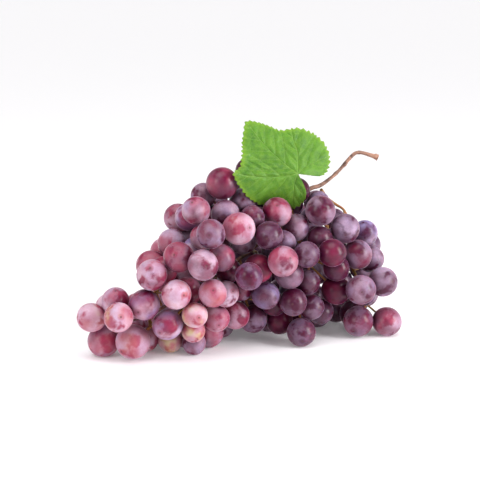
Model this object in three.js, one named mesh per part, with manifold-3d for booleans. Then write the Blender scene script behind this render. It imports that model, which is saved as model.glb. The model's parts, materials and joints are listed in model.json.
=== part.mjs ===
// A bunch of red table grapes lying on its side, with a vine leaf over its shoulder.
// Millimetres, +Z up, the table at z = 0. The thin end of the bunch points to -X, the cut end
// of its main stem to +X, and the side that a viewer faces is -Y. The origin is on the table
// under the middle of the whole.

import * as THREE from "three";
import { mergeVertices } from "three/addons/utils/BufferGeometryUtils.js";
import Module from "manifold-3d";

const wasm = await Module();
wasm.setup();

// Where the viewer is. The seen side is laid out on sight lines: a place is given by how far
// across and up it is in the upright picture plane, SIGHT away, and how deep it lies (its y).
const SIGHT = 750;
const VIEW_DROP = 0.225;
const VIEW_LEVEL = Math.sqrt(1 - VIEW_DROP * VIEW_DROP);
const VIEW_HEIGHT = 71.8;
const EYE = [0, -SIGHT * VIEW_LEVEL, VIEW_HEIGHT + SIGHT * VIEW_DROP];

// From the laid-out frame to the part's origin.
const ORIGIN_SHIFT = [-3.44, -4.46, 0];

const BERRY_GAP = 0.4;
const STEM_GAP = 0.5;
const STEM_ROOM = 0.6;
const TABLE_FLAT = 0.4;
const BERRY_DETAIL = 2;
const LATERAL_RADIUS = 1.1;
const STALK_RADIUS = 0.8;
const STALK_WART = 1.25;
const STALK_SUNK = 0.5;
const STALK_SIDES = 3;
const LATERAL_TAPER = 0.1;
const LATERAL_SIDES = 4;
const STEM_SIDES = 7;

// The berries that show: across, up, radius, and how much deeper than the bunch's front they
// lie, or ON_TABLE. In each group the nearer ones come first.
const ON_TABLE = "on the table";
const SEEN_BERRIES = [
  // the thin end
  [-70.5, -68, 11.6, ON_TABLE], [-81, -51, 9.8, 0], [-90, -67, 10.6, ON_TABLE],
  [-97.5, -51, 9.6, 12], [-47.5, -56, 10.4, -8], [-63, -43, 10.6, 4], [-82, -42, 9.4, 0],
  [-46, -67, 8.4, ON_TABLE], [-60.5, -67, 8.4, ON_TABLE], [-88, -45, 8.8, 0], [-69, -43.5, 8.6, 0],
  // the low left front
  [-41.5, -37, 10, 0], [-25.5, -16.5, 10.4, -12], [-17.5, -35.5, 9.8, 0], [-41, -12.5, 10.4, 3],
  [-58.5, -24, 10.4, 0], [-51, -19.5, 9.6, 0], [-58.5, -17, 10, 0], [-35, -34, 9.4, 0],
  [-31, -50.5, 9, 0], [-15.5, -52, 9.4, 0], [-3.5, -50, 9.6, 0], [-31.5, -60.5, 8.4, 0],
  [-21.5, -62, 10, ON_TABLE], [-33, -68.5, 8, ON_TABLE],
  // the low middle
  [6.5, -24, 9.2, 0], [29, -14.5, 10.6, 0], [12, -20.5, 9.8, 0], [-9.5, -32.5, 9.4, 0],
  [1, -33, 7.6, 0], [17, -36, 9.6, 6], [8.5, -52, 9.4, 0],
  // the upper left
  [0.5, 7.5, 10.8, 0], [-20, 3.5, 10, 0], [-12.5, -12, 9.2, 0], [-8, -24, 8.6, 0],
  [-29.5, 18.5, 9.6, 0], [-25.5, 1.5, 8.6, 0], [-32, -4.5, 8, 0], [-34.5, 15.5, 9.2, 0],
  [-40.5, 15, 9.4, 0], [-43, -2.5, 9.4, 0], [-9.5, 17.5, 9.6, 0], [-12.5, 37, 10.6, 0],
  [-23.5, 29.5, 8.6, 0],
  // the upper right
  [17.5, 4, 9.8, 0], [24, 18, 9.8, 0], [28.5, -2, 8.6, 0], [37, 9, 9.4, 0], [53, 19, 10.2, 0],
  [69, 6.5, 9.8, 0], [78, -9, 9.8, 0], [83, 4.5, 8.6, 0], [44, -10.5, 8.8, 0],
  [60.5, -8.5, 9.4, 0],
  // the low right
  [34, -22.5, 9.8, 0], [44, -28.5, 8.8, 0], [34.5, -41, 9.2, 4], [42, -61, 9.6, ON_TABLE],
  [46, -46.5, 8.8, 6], [26, -53, 9, 0], [53, -47, 8.6, 0], [22.5, -42.5, 8, 0],
  [81, -33, 9.8, 0], [93, -29, 9.8, 0], [86.5, -12.5, 8.8, 0], [64, -33, 9.6, 8],
  [81, -54, 10, ON_TABLE], [95, -54.5, 9.6, ON_TABLE], [75.5, -49, 9, 0], [84, -35, 7.6, 0],
  // behind the others
  [64, -18.5, 8.6, 0], [55, 1.5, 8.4, 0], [2, 25, 9.4, 0], [9.5, 12.5, 8.4, 0],
  [2.5, 0.5, 8.6, 0], [5.5, 46, 8.4, 0], [38, 32.5, 8.6, 0], [50.5, 24.5, 8.6, 0],
  [54, 23, 8.6, 0], [60, 15, 7.6, 0],
];

// The form of the bunch: at each x, the middle and half width in y and in z of the ellipse on
// which the berries' centres lie.
const SECTIONS = [
  { x: -107, deep: -34, halfDeep: 8, high: 20, halfHigh: 14 },
  { x: -82, deep: -27, halfDeep: 16, high: 21, halfHigh: 16 },
  { x: -58, deep: -14, halfDeep: 24, high: 33, halfHigh: 28 },
  { x: -30, deep: 2, halfDeep: 32, high: 47, halfHigh: 42 },
  { x: 0, deep: 18, halfDeep: 38, high: 51, halfHigh: 46 },
  { x: 35, deep: 28, halfDeep: 38, high: 51, halfHigh: 46 },
  { x: 70, deep: 34, halfDeep: 32, high: 42, halfHigh: 40 },
  { x: 105, deep: 36, halfDeep: 12, high: 22, halfHigh: 22 },
];
const BACK_SHARE = 0.78;

// The hidden side: berries in rows along the same form, with a seeded draw.
const SEED = 1187;
const BACK_STEP = 20.4;
const BACK_ROW_STEP = 17.2;
const BACK_START = -84;
const BACK_END = 98;
const BACK_WANDER = 5;
const BACK_RADIUS = 8.5;
const BACK_RADIUS_DRAW = 1.5;
const BACK_CROWD = 0.62;
const ARC_STEPS = 60;

// The berries inside, where room is left.
const INSIDE_STEP = 6;
const INSIDE_SHARE = 0.8;
const INSIDE_LEAST = 9.3;
const INSIDE_MOST = 9.6;

// A hidden berry is left out where it would show past the seen ones: how much wider each of
// those counts, the share of the hidden one's radius at which its rim is tested, at how many
// points, and how many of them may stay open.
const PEEK_REACH = 1.12;
const PEEK_RIM = 0.95;
const PEEK_TESTS = 12;
const PEEK_POINTS = 1;

// How the berries settle: each is drawn to its place and pushed off its neighbours.
const START_SHARE = 0.8;
const SEEN_ROUNDS = 160;
const ALL_ROUNDS = 120;
const SIDE_PULL = 0.35;
const DEPTH_PULL = 0.03;
const TABLE_PULL = 0.3;
const BACK_PULL = 0.04;
const SEEN_YIELDS = 0.25;
const FRONT_STEPS = 6;

// The main stem from its cut end to the thin end of the bunch: across, up, deep, radius.
const MAIN_STEM = [
  [91.6, 54.7, 46, 2.3], [90.2, 55.3, 46, 1.9], [86.5, 56.5, 45.5, 1.6], [81.8, 57.9, 45, 1.5],
  [78.5, 58.2, 44.5, 1.5], [75.8, 57.2, 44, 1.4], [72.5, 53.9, 43, 1.4], [68.5, 49.2, 42, 1.4],
  [65.2, 45.6, 41, 1.4], [61.2, 41.9, 40, 1.4], [56.5, 38.2, 38, 1.5], [52.5, 35.9, 36, 1.6],
  [47.2, 34.3, 34, 1.7], [40, 29, 34, 1.8], [30, 16.6, 33, 1.8], [14.6, 0, 28, 1.7],
  [-3, -14.6, 20, 1.6], [-23, -28.6, 8, 1.5], [-43, -40, -4, 1.4], [-61, -50, -13, 1.2],
  [-76.5, -54.5, -20, 1.0],
];

// The laterals: each starts on the main stem and carries one spray: across, up, deep.
const LATERALS = {
  spray_wing: [[42, 30.5, 34], [56.5, 10.5, 40], [70, -9.5, 38], [80, -30.5, 32], [84, -45, 30]],
  spray_shoulder: [[52.5, 35.5, 36], [58, 28, 41], [64, 23.5, 41], [69, 20, 40], [73, 12, 42]],
  spray_top: [[37, 26.5, 34], [29.5, 32, 28], [14.5, 34.5, 24]],
  spray_crown: [[30, 16.5, 33], [24, 9.5, 16]],
  spray_right_middle: [[24.5, 10.5, 31], [40, -2, 20], [46, -18.5, 14]],
  spray_right_low: [[14.5, 0, 28], [29.5, -18.5, 18], [37, -38.5, 14], [40, -52, 12]],
  spray_middle_top: [[12, -2.5, 27], [-1.5, 9.5, 12], [-8, 21.5, 12]],
  spray_middle: [[0, -12, 22], [1.5, -24, 2], [4, -41, 4]],
  spray_left_top: [[-9.5, -18.5, 17], [-22, 5.5, 2]],
  spray_left: [[-23, -28.5, 8], [-33.5, -14.5, -10]],
  spray_front: [[-17.5, -24.5, 12], [-18.5, -40, -14], [-18.5, -52, -10]],
  spray_front_low: [[-40, -38, -2], [-38.5, -46.5, -22]],
  spray_tip_left: [[-52, -44.5, -8], [-56.5, -33.5, -24]],
  spray_tip_low: [[-60, -49, -12], [-60, -58.5, -24]],
  spray_tip: [[-75, -54, -19], [-85, -52, -30]],
  spray_back_right: [[33.5, 21.5, 33.5], [40, 2.5, 56], [48, -20, 60]],
  spray_back_middle: [[6.5, -6.5, 25], [12, -10.5, 48], [14.5, -33.5, 52]],
  spray_back_left: [[-14.5, -22.5, 13], [-14.5, -14.5, 34], [-16.5, -33.5, 34]],
  spray_back_low: [[-33.5, -34, 2], [-38.5, -33.5, 20]],
  spray_back_tip: [[-66.5, -52, -16], [-70, -48, -2]],
};
// Where the laterals and the fruit stalks start, and how a stalk's line is bent clear.
const CLEAR_STEP = 0.01;
const LATERAL_FREE = 0.35;
const ROOT_STEP = 1.7;
const STALK_STEP = 5;
const STALK_BEND = 0.25;
const STALK_SMOOTH = 0.3;
const STALK_OUTSIDE = 1.02;
const STALK_ROUNDS = 40;
const STALK_LAST_ROUNDS = 15;

// The leaf: its heart, where the stalk meets the blade, and its outline round the heart.
const LEAF_HEART = [38.5, 44];
const LEAF_OUTLINE = [
  [7.3, -0.3], [14, -1.6], [18.5, 0], [21.5, 5], [21.6, 12], [18.5, 20], [12, 26.5], [4, 30.3],
  [-3, 31], [-9, 29.6], [-13, 29.8], [-19, 32.2], [-27, 34.8], [-34.8, 35.4], [-36.5, 29],
  [-37.8, 20], [-38.2, 12], [-39.2, 5], [-43.6, 0.6], [-41.4, -5.5], [-37.2, -12],
  [-32.5, -16.8], [-27, -20.4], [-19, -22.8], [-12, -24.3], [-6, -24.2], [0, -22.6],
  [4.4, -18.4], [5.6, -12], [2.7, -5.2],
];
const LEAF_STEPS = 76;
const LEAF_RINGS = [[0.22, 4], [0.46, 2], [0.74, 1], [1, 1]];
const LEAF_TOOTH = 1.3;
const LEAF_THICKNESS = 0.7;
const LEAF_ROOM = 0.6;
const LEAF_LOWEST = 60;

// The blade's depth at its heart, and how it changes across, above and below the ridge along
// its left vein, and behind the berry that lies on its lower edge.
const LEAF_DEEP = 10.5;
const LEAF_SLANT = 0.42;
const LEAF_LEAN = 0.3;
const LEAF_CUP = 0.0035;
const LEAF_TUCK = -0.1;
const LEAF_HOLLOW = 8;
const LEAF_HOLLOW_AT = [-14, -24];
const LEAF_HOLLOW_SIZE = [12.7, 9.9];
const LEAF_STALK = [[39, 44, 19], [39.5, 43.5, 27], [38.5, 42, 35], [36, 40, 43], [32, 36.5, 50]];
const LEAF_STALK_RADIUS = 1.0;
const LEAF_STALK_SIDES = 5;

const GRAPE_TIP = new THREE.Color(0.62, 0.24, 0.3);
const GRAPE_SHOULDER = new THREE.Color(0.24, 0.12, 0.2);
const STEM_COLOUR = new THREE.Color(0.42, 0.26, 0.12);
const LEAF_COLOUR = new THREE.Color(0.24, 0.45, 0.07);
const ROSY_UNTIL = -70;
const DARK_FROM = 50;
const TABLE_SIZE = 600;
const TABLE_DEPTH = 20;

const add = (a, b) => [a[0] + b[0], a[1] + b[1], a[2] + b[2]];
const sub = (a, b) => [a[0] - b[0], a[1] - b[1], a[2] - b[2]];
const times = (a, k) => [a[0] * k, a[1] * k, a[2] * k];
const dot = (a, b) => a[0] * b[0] + a[1] * b[1] + a[2] * b[2];
const size = (a) => Math.sqrt(dot(a, a));
const mix = (a, b, t) => a + (b - a) * t;
const blend = (a, b, t) => [mix(a[0], b[0], t), mix(a[1], b[1], t), mix(a[2], b[2], t)];

// A small generator of numbers from 0 to 1, the same on every run.
function seededDraw(seed) {
  let state = seed;
  return () => {
    state = (state * 16807) % 2147483647;
    return state / 2147483647;
  };
}

// From the eye to a point of the picture plane; s = 1 reaches the plane.
function sightLine(across, up) {
  return [across, SIGHT * VIEW_LEVEL + up * VIEW_DROP, up * VIEW_LEVEL - SIGHT * VIEW_DROP];
}

const alongSight = (line, s) => add(EYE, times(line, s));

function onSight([across, up, deep]) {
  const line = sightLine(across, up);
  return alongSight(line, (deep - EYE[1]) / line[1]);
}

// Where a point shows in the picture plane, and how far along its sight line it is.
function inPicture(p) {
  const m = sub(p, EYE);
  const far = (m[1] * VIEW_LEVEL - m[2] * VIEW_DROP) / SIGHT;
  return [m[0] / far, (m[1] * VIEW_DROP + m[2] * VIEW_LEVEL) / far, far];
}

function sectionAt(x) {
  const last = SECTIONS.length - 1;
  if (x <= SECTIONS[0].x) return SECTIONS[0];
  if (x >= SECTIONS[last].x) return SECTIONS[last];
  const i = SECTIONS.findIndex((s) => x <= s.x);
  const [a, b] = [SECTIONS[i - 1], SECTIONS[i]];
  const t = (x - a.x) / (b.x - a.x);
  return {
    x,
    deep: mix(a.deep, b.deep, t),
    halfDeep: mix(a.halfDeep, b.halfDeep, t),
    high: mix(a.high, b.high, t),
    halfHigh: mix(a.halfHigh, b.halfHigh, t),
  };
}

// How far along a sight line the front of the bunch's form is.
function frontAlong(line) {
  let s = 1;
  for (let i = 0; i < FRONT_STEPS; i += 1) {
    const [x, , z] = alongSight(line, s);
    const form = sectionAt(x);
    const rise = (z - form.high) / form.halfHigh;
    const wanted = form.deep - form.halfDeep * Math.sqrt(Math.max(1 - rise * rise, 0));
    s = (wanted - EYE[1]) / line[1];
  }
  return s;
}

// How far along a sight line a berry of this share just clears another one on its far side.
function behindAlong(line, share, other, otherRadius) {
  const m = sub(EYE, other);
  const a = dot(line, line) - share * share;
  const b = dot(m, line) - share * otherRadius;
  const c = dot(m, m) - otherRadius * otherRadius;
  const root = b * b - a * c;
  return root < 0 ? 0 : (Math.sqrt(root) - b) / a;
}

// The berries that show start on the front of the form, behind those already placed.
function startSeenBerries() {
  const berries = [];
  for (const [across, up, radius, deeper] of SEEN_BERRIES) {
    const line = sightLine(across, up);
    const share = radius;
    const stands = deeper === ON_TABLE;
    const table = (EYE[2] + TABLE_FLAT) / (share - line[2]);
    const front = stands ? table : frontAlong(line) + deeper / line[1];
    const home = Math.min(front, table);
    let s = home;
    for (const other of berries) {
      const clear = behindAlong(line, share * START_SHARE, other.at, other.radius * START_SHARE);
      s = Math.max(s, clear);
    }
    const at = alongSight(line, s);
    berries.push({ seen: true, stands, line, share, home, at, radius: s * share });
  }
  return berries;
}

// The berries of the hidden side start in staggered rows round the back of the form.
function startBackBerries(seen) {
  const draw = seededDraw(SEED);
  const berries = [];
  let row = 0;
  for (let x = BACK_START; x <= BACK_END; x += BACK_ROW_STEP) {
    const form = sectionAt(x);
    let walked = BACK_STEP * (row % 2 ? 0.25 : 0.75);
    let previous = null;
    for (let i = 0; i <= ARC_STEPS; i += 1) {
      const t = -1 + (2 * i) / ARC_STEPS;
      const level = (1 - t * t) / (1 + t * t);
      const rise = (2 * t) / (1 + t * t);
      const deep = form.deep + form.halfDeep * BACK_SHARE * level;
      const p = [x, deep, form.high + form.halfHigh * rise];
      if (previous) walked += size(sub(p, previous));
      previous = p;
      if (walked < BACK_STEP) continue;
      walked -= BACK_STEP;
      const radius = BACK_RADIUS + BACK_RADIUS_DRAW * draw();
      const wander = [draw() - 0.5, draw() - 0.5, draw() - 0.5];
      const at = add(p, times(wander, BACK_WANDER));
      at[2] = Math.max(at[2], radius - TABLE_FLAT);
      const taken = [...seen, ...berries];
      if (taken.some((b) => size(sub(at, b.at)) < BACK_CROWD * (radius + b.radius))) continue;
      berries.push({ seen: false, stands: false, home: at, at, radius });
    }
    row += 1;
  }
  return berries;
}

// The point of the line from a to b nearest to p, as a share of its length.
function nearestShare(p, a, b) {
  const d = sub(b, a);
  return Math.max(0, Math.min(1, dot(sub(p, a), d) / dot(d, d)));
}

function drawHome(berry) {
  if (!berry.seen) {
    berry.at = add(berry.at, times(sub(berry.home, berry.at), BACK_PULL));
    return;
  }
  const now = dot(sub(berry.at, EYE), berry.line) / dot(berry.line, berry.line);
  const s = now + (berry.home - now) * (berry.stands ? TABLE_PULL : DEPTH_PULL);
  const p = alongSight(berry.line, s);
  const [x, , z] = berry.at;
  berry.at = [x + (p[0] - x) * SIDE_PULL, p[1], z + (p[2] - z) * SIDE_PULL];
  berry.radius = s * berry.share;
}

function pushApart(berries) {
  berries.forEach((one, i) => {
    for (let j = 0; j < i; j += 1) {
      const other = berries[j];
      const need = one.radius + other.radius + BERRY_GAP;
      const d = sub(one.at, other.at);
      const far2 = dot(d, d);
      if (far2 >= need * need) continue;
      const far = Math.sqrt(far2);
      const push = (need - far) / far;
      let part = 0.5;
      if (one.seen !== other.seen) part = one.seen ? SEEN_YIELDS : 1 - SEEN_YIELDS;
      one.at = add(one.at, times(d, push * part));
      other.at = sub(other.at, times(d, push * (1 - part)));
    }
  });
}

function pushOffStems(berry, stems) {
  for (const stem of stems) {
    const t = nearestShare(berry.at, stem.a, stem.b);
    const p = blend(stem.a, stem.b, t);
    const need = berry.radius + mix(stem.ra, stem.rb, t) + STEM_ROOM;
    const d = sub(berry.at, p);
    const far = size(d);
    if (far < need) berry.at = add(berry.at, times(d, ((need - far) / far) * 0.5));
  }
}

function settle(berries, stems, rounds) {
  for (let round = 0; round < rounds; round += 1) {
    berries.forEach(drawHome);
    pushApart(berries);
    for (const berry of berries) {
      pushOffStems(berry, stems);
      berry.at[2] = Math.max(berry.at[2], berry.radius - TABLE_FLAT);
    }
  }
}

// A hidden berry whose rim shows past the seen ones and the leaf would spoil the seen side.
function peeks(berry, seen) {
  const [across, up, far] = inPicture(berry.at);
  const radius = berry.radius / far;
  const discs = seen.map((b) => [...inPicture(b.at), b.radius * PEEK_REACH]);
  let open = 0;
  for (let i = 0; i < PEEK_TESTS; i += 1) {
    const angle = (i * 2 * Math.PI) / PEEK_TESTS;
    const x = across + radius * Math.cos(angle) * PEEK_RIM;
    const y = up + radius * Math.sin(angle) * PEEK_RIM;
    const covered = discs.some(([dx, dy, df, dr]) => {
      const r = dr / df;
      return df < far && (x - dx) * (x - dx) + (y - dy) * (y - dy) < r * r;
    });
    if (!covered && !underLeaf(x, y)) open += 1;
  }
  return open > PEEK_POINTS;
}

function underLeaf(x, y) {
  let inside = false;
  LEAF_OUTLINE.forEach(([ax, ay], i) => {
    const [bx, by] = LEAF_OUTLINE[(i + 1) % LEAF_OUTLINE.length];
    const [px, py] = [x - LEAF_HEART[0], y - LEAF_HEART[1]];
    if (ay > py !== by > py && px < ax + ((py - ay) / (by - ay)) * (bx - ax)) inside = !inside;
  });
  return inside;
}

// Berries in the room that is left inside, so that the bunch is as close as a real one.
function insideBerries(berries, stems) {
  const found = [];
  for (let x = BACK_START; x <= BACK_END; x += INSIDE_STEP) {
    const form = sectionAt(x);
    const [halfDeep, halfHigh] = [form.halfDeep * INSIDE_SHARE, form.halfHigh * INSIDE_SHARE];
    for (let y = form.deep - halfDeep; y <= form.deep + halfDeep; y += INSIDE_STEP) {
      for (let z = form.high - halfHigh; z <= form.high + halfHigh; z += INSIDE_STEP) {
        const [ey, ez] = [(y - form.deep) / halfDeep, (z - form.high) / halfHigh];
        if (ey * ey + ez * ez > 1) continue;
        const at = [x, y, z];
        let room = Math.min(INSIDE_MOST, z + TABLE_FLAT);
        for (const b of [...berries, ...found]) {
          room = Math.min(room, size(sub(at, b.at)) - b.radius - BERRY_GAP);
        }
        room = Math.min(room, stemDistance(at, stems) - STEM_ROOM);
        if (room < INSIDE_LEAST) continue;
        found.push({ seen: false, stands: false, home: at, at, radius: room });
      }
    }
  }
  return found;
}

// What still overlaps after settling is taken off the radii.
function trim(berries, stems) {
  berries.forEach((one, i) => {
    for (let j = 0; j < i; j += 1) {
      const other = berries[j];
      const lap = one.radius + other.radius + BERRY_GAP - size(sub(one.at, other.at));
      if (lap <= 0) continue;
      one.radius -= lap / 2;
      other.radius -= lap / 2;
    }
    for (const stem of stems) {
      const t = nearestShare(one.at, stem.a, stem.b);
      const far = size(sub(one.at, blend(stem.a, stem.b, t)));
      const lap = one.radius + mix(stem.ra, stem.rb, t) + STEM_GAP - far;
      if (lap > 0) one.radius -= lap;
    }
  });
}

function placeBerries(stems) {
  const seen = startSeenBerries();
  settle(seen, stems, SEEN_ROUNDS);
  const back = startBackBerries(seen);
  settle([...seen, ...back], stems, ALL_ROUNDS);
  const hidden = back.filter((b) => !peeks(b, seen));
  const outer = [...seen, ...hidden];
  const berries = [...outer, ...insideBerries(outer, stems)];
  trim(berries, stems);
  return berries;
}

// A line of points with radii as the stretches between them.
function stretches(points, radii) {
  return points.slice(1).map((b, i) => ({ a: points[i], b, ra: radii[i], rb: radii[i + 1] }));
}

// How far a point is from the surface of the nearest of some stems.
function stemDistance(p, stems) {
  return stems.reduce((least, stem) => {
    const t = nearestShare(p, stem.a, stem.b);
    return Math.min(least, size(sub(p, blend(stem.a, stem.b, t))) - mix(stem.ra, stem.rb, t));
  }, Infinity);
}

// A lateral starts beside the main stem, just clear of its surface.
function clearOfMainStem(points, mainStem) {
  let share = 0;
  while (stemDistance(blend(points[0], points[1], share), mainStem) < LATERAL_RADIUS + STEM_GAP) {
    share += CLEAR_STEP;
  }
  return [blend(points[0], points[1], share), ...points.slice(1)];
}

// A round stem through points with a radius at each, closed at both ends.
function stalkGeometry(points, radii, sides) {
  const rings = points.length;
  const positions = [];
  const start = sub(points[1], points[0]);
  let side = Math.abs(start[2]) > 0.9 * size(start) ? [1, 0, 0] : [0, 0, 1];
  for (let k = 0; k < rings; k += 1) {
    const before = points[Math.max(k - 1, 0)];
    const after = points[Math.min(k + 1, rings - 1)];
    const way = times(sub(after, before), 1 / size(sub(after, before)));
    side = sub(side, times(way, dot(side, way)));
    side = times(side, 1 / size(side));
    const other = [
      way[1] * side[2] - way[2] * side[1],
      way[2] * side[0] - way[0] * side[2],
      way[0] * side[1] - way[1] * side[0],
    ];
    for (let i = 0; i < sides; i += 1) {
      const angle = (2 * Math.PI * i) / sides;
      const out = add(times(side, Math.cos(angle)), times(other, Math.sin(angle)));
      positions.push(...add(points[k], times(out, radii[k])));
    }
  }
  const faces = [];
  for (let k = 0; k < rings - 1; k += 1) {
    for (let i = 0; i < sides; i += 1) {
      const [a, b] = [k * sides + i, k * sides + ((i + 1) % sides)];
      faces.push(a, b, b + sides, a, b + sides, a + sides);
    }
  }
  for (let i = 1; i < sides - 1; i += 1) {
    const last = (rings - 1) * sides;
    faces.push(0, i + 1, i, last, last + i, last + i + 1);
  }
  const geometry = new THREE.BufferGeometry();
  geometry.setAttribute("position", new THREE.Float32BufferAttribute(positions, 3));
  geometry.setIndex(faces);
  return geometry;
}

function solidOf(geometry) {
  const bare = geometry.clone();
  bare.deleteAttribute("normal");
  bare.deleteAttribute("uv");
  const merged = mergeVertices(bare, 1e-4);
  return new wasm.Manifold(
    new wasm.Mesh({
      numProp: 3,
      vertProperties: new Float32Array(merged.attributes.position.array),
      triVerts: new Uint32Array(merged.index.array),
    }),
  );
}

// The largest body of a solid, without the slivers that a join can leave.
function withoutScraps(solid) {
  return solid.decompose().reduce((a, b) => (b.volume() > a.volume() ? b : a));
}

function geometryOf(solid) {
  const mesh = solid.getMesh();
  const geometry = new THREE.BufferGeometry();
  const positions = new Float32Array(mesh.vertProperties);
  geometry.setAttribute("position", new THREE.BufferAttribute(positions, 3));
  geometry.setIndex(new THREE.BufferAttribute(new Uint32Array(mesh.triVerts), 1));
  geometry.computeVertexNormals();
  return geometry;
}

// A ball of 72 faces with one corner straight down, so that its flat on the table is centred.
const BERRY_FORM = new THREE.OctahedronGeometry(1, BERRY_DETAIL);

function berrySolid(berry) {
  const form = BERRY_FORM.clone();
  form.scale(berry.radius, berry.radius, berry.radius);
  form.translate(...berry.at);
  return solidOf(form);
}

// The places along a lateral that fruit stalks may leave from, past its bare first part.
function stalkRoots(lateral) {
  const roots = [];
  lateral.forEach((stretch, i) => {
    const whole = size(sub(stretch.b, stretch.a));
    const from = i === 0 ? LATERAL_FREE * whole : ROOT_STEP / 2;
    for (let way = from; way <= whole; way += ROOT_STEP) {
      roots.push({ at: blend(stretch.a, stretch.b, way / whole), taken: false });
    }
  });
  return roots;
}

const distanceTo = (roots, p) => Math.min(...roots.map((root) => size(sub(root.at, p))));

// Each berry hangs on the nearest lateral, and in turn takes the nearest root that is free.
function hangBerries(berries, laterals) {
  for (const berry of berries) {
    const far = laterals.map((lateral) => distanceTo(lateral.roots, berry.at));
    const lateral = laterals[far.indexOf(Math.min(...far))];
    berry.spray = lateral.name;
    const free = lateral.roots.filter((root) => !root.taken);
    const choice = free.length ? free : lateral.roots;
    const away = choice.map((root) => size(sub(root.at, berry.at)));
    const root = choice[away.indexOf(Math.min(...away))];
    root.taken = true;
    berry.root = root.at;
  }
}

// A line without the points that bend it by less than STALK_BEND.
function straightened(points) {
  const kept = [...points];
  for (let k = kept.length - 2; k > 0; k -= 1) {
    const t = nearestShare(kept[k], kept[k - 1], kept[k + 1]);
    if (size(sub(kept[k], blend(kept[k - 1], kept[k + 1], t))) < STALK_BEND) kept.splice(k, 1);
  }
  return kept;
}

// A point moved out to some distance from a middle, if it is nearer.
function movedOut(p, middle, need) {
  const d = sub(p, middle);
  return dot(d, d) < need * need ? add(middle, times(d, need / size(d))) : p;
}

// Bends a line of points clear of berries and stems; its last point moves only if it is free.
function bendClear(points, berries, stems, room, rounds, freeEnd) {
  const last = points.length - 1;
  for (let round = 0; round < rounds; round += 1) {
    for (let k = 1; k < points.length - (freeEnd ? 0 : 1); k += 1) {
      let p = points[k];
      if (k < last) p = blend(p, blend(points[k - 1], points[k + 1], 0.5), STALK_SMOOTH);
      for (const berry of berries) p = movedOut(p, berry.at, berry.radius + room);
      for (const stem of stems) {
        const t = nearestShare(p, stem.a, stem.b);
        p = movedOut(p, blend(stem.a, stem.b, t), mix(stem.ra, stem.rb, t) + room);
      }
      points[k] = p;
    }
  }
}

// The stalk's way from its root to its berry, bent clear of what it would pass through.
function stalkPath(root, berry, others, foreign, stems) {
  const far = size(sub(berry.at, root));
  const steps = Math.max(2, Math.ceil(far / STALK_STEP));
  const points = [];
  for (let k = 0; k <= steps; k += 1) points.push(blend(root, berry.at, k / steps));
  const room = STALK_RADIUS + STEM_GAP;
  bendClear(points, others, stems, room, STALK_ROUNDS, false);
  bendClear(points, foreign, stems, room, STALK_LAST_ROUNDS, false);
  const limit = berry.radius * STALK_OUTSIDE;
  const outside = points.slice(1, steps).filter((p) => size(sub(p, berry.at)) > limit);
  const kept = straightened([root, ...outside, berry.at]).slice(0, -1);
  const before = kept[kept.length - 1];
  const way = sub(berry.at, before);
  kept.push(add(before, times(way, 1 - (berry.radius * STALK_SUNK) / size(way))));
  return kept;
}

const TABLE_FORM = new THREE.BoxGeometry(TABLE_SIZE, TABLE_SIZE, TABLE_DEPTH);
const TABLE_SOLID = solidOf(TABLE_FORM.translate(0, 0, -TABLE_DEPTH / 2));

function sprayMesh(name, lateral, berries, allBerries, stems) {
  const points = [lateral[0].a, ...lateral.map((s) => s.b)];
  const radii = points.map((p, i) => LATERAL_RADIUS * (1 - LATERAL_TAPER * Math.min(i, 3)));
  let solid = solidOf(stalkGeometry(points, radii, LATERAL_SIDES));
  const foreign = allBerries.filter((b) => b.spray !== name);
  for (const berry of berries) {
    const others = allBerries.filter((b) => b !== berry);
    const path = stalkPath(berry.root, berry, others, foreign, stems);
    const wart = path.length > 2 ? path.length - 2 : -1;
    const stalkRadii = path.map((p, i) => (i === wart ? STALK_WART : STALK_RADIUS));
    solid = solid.add(solidOf(stalkGeometry(path, stalkRadii, STALK_SIDES)));
    solid = solid.add(berrySolid(berry));
  }
  solid = withoutScraps(solid.subtract(TABLE_SOLID));
  const middle = berries.reduce((sum, b) => sum + b.at[0], 0) / berries.length;
  const ripe = Math.max(0, Math.min(1, (middle - ROSY_UNTIL) / (DARK_FROM - ROSY_UNTIL)));
  const colour = GRAPE_TIP.clone().lerp(GRAPE_SHOULDER, ripe);
  const mesh = new THREE.Mesh(
    geometryOf(solid),
    new THREE.MeshStandardMaterial({ color: colour, roughness: 0.4, metalness: 0 }),
  );
  mesh.name = name;
  return mesh;
}

function mainStemMesh(points, radii) {
  const mesh = new THREE.Mesh(
    stalkGeometry(points, radii, STEM_SIDES),
    new THREE.MeshStandardMaterial({ color: STEM_COLOUR, roughness: 0.7, metalness: 0 }),
  );
  mesh.name = "main_stem";
  return mesh;
}

// The blade's depth at a place round the heart: slanted, leaning back and cupped above the
// ridge and to the right, and tucked back below it.
function leafDepth(across, up) {
  const above = Math.max(up, 0);
  const right = Math.max(across, 0);
  const lean = up > 0 ? LEAF_LEAN * up : LEAF_TUCK * up;
  const [fromX, fromY] = [across - LEAF_HOLLOW_AT[0], up - LEAF_HOLLOW_AT[1]];
  const [farX, farY] = [fromX / LEAF_HOLLOW_SIZE[0], fromY / LEAF_HOLLOW_SIZE[1]];
  const hollow = LEAF_HOLLOW * Math.exp(-farX * farX - farY * farY);
  const cup = LEAF_CUP * (above * above + right * right);
  return LEAF_DEEP + LEAF_SLANT * across + lean + cup + hollow;
}

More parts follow.
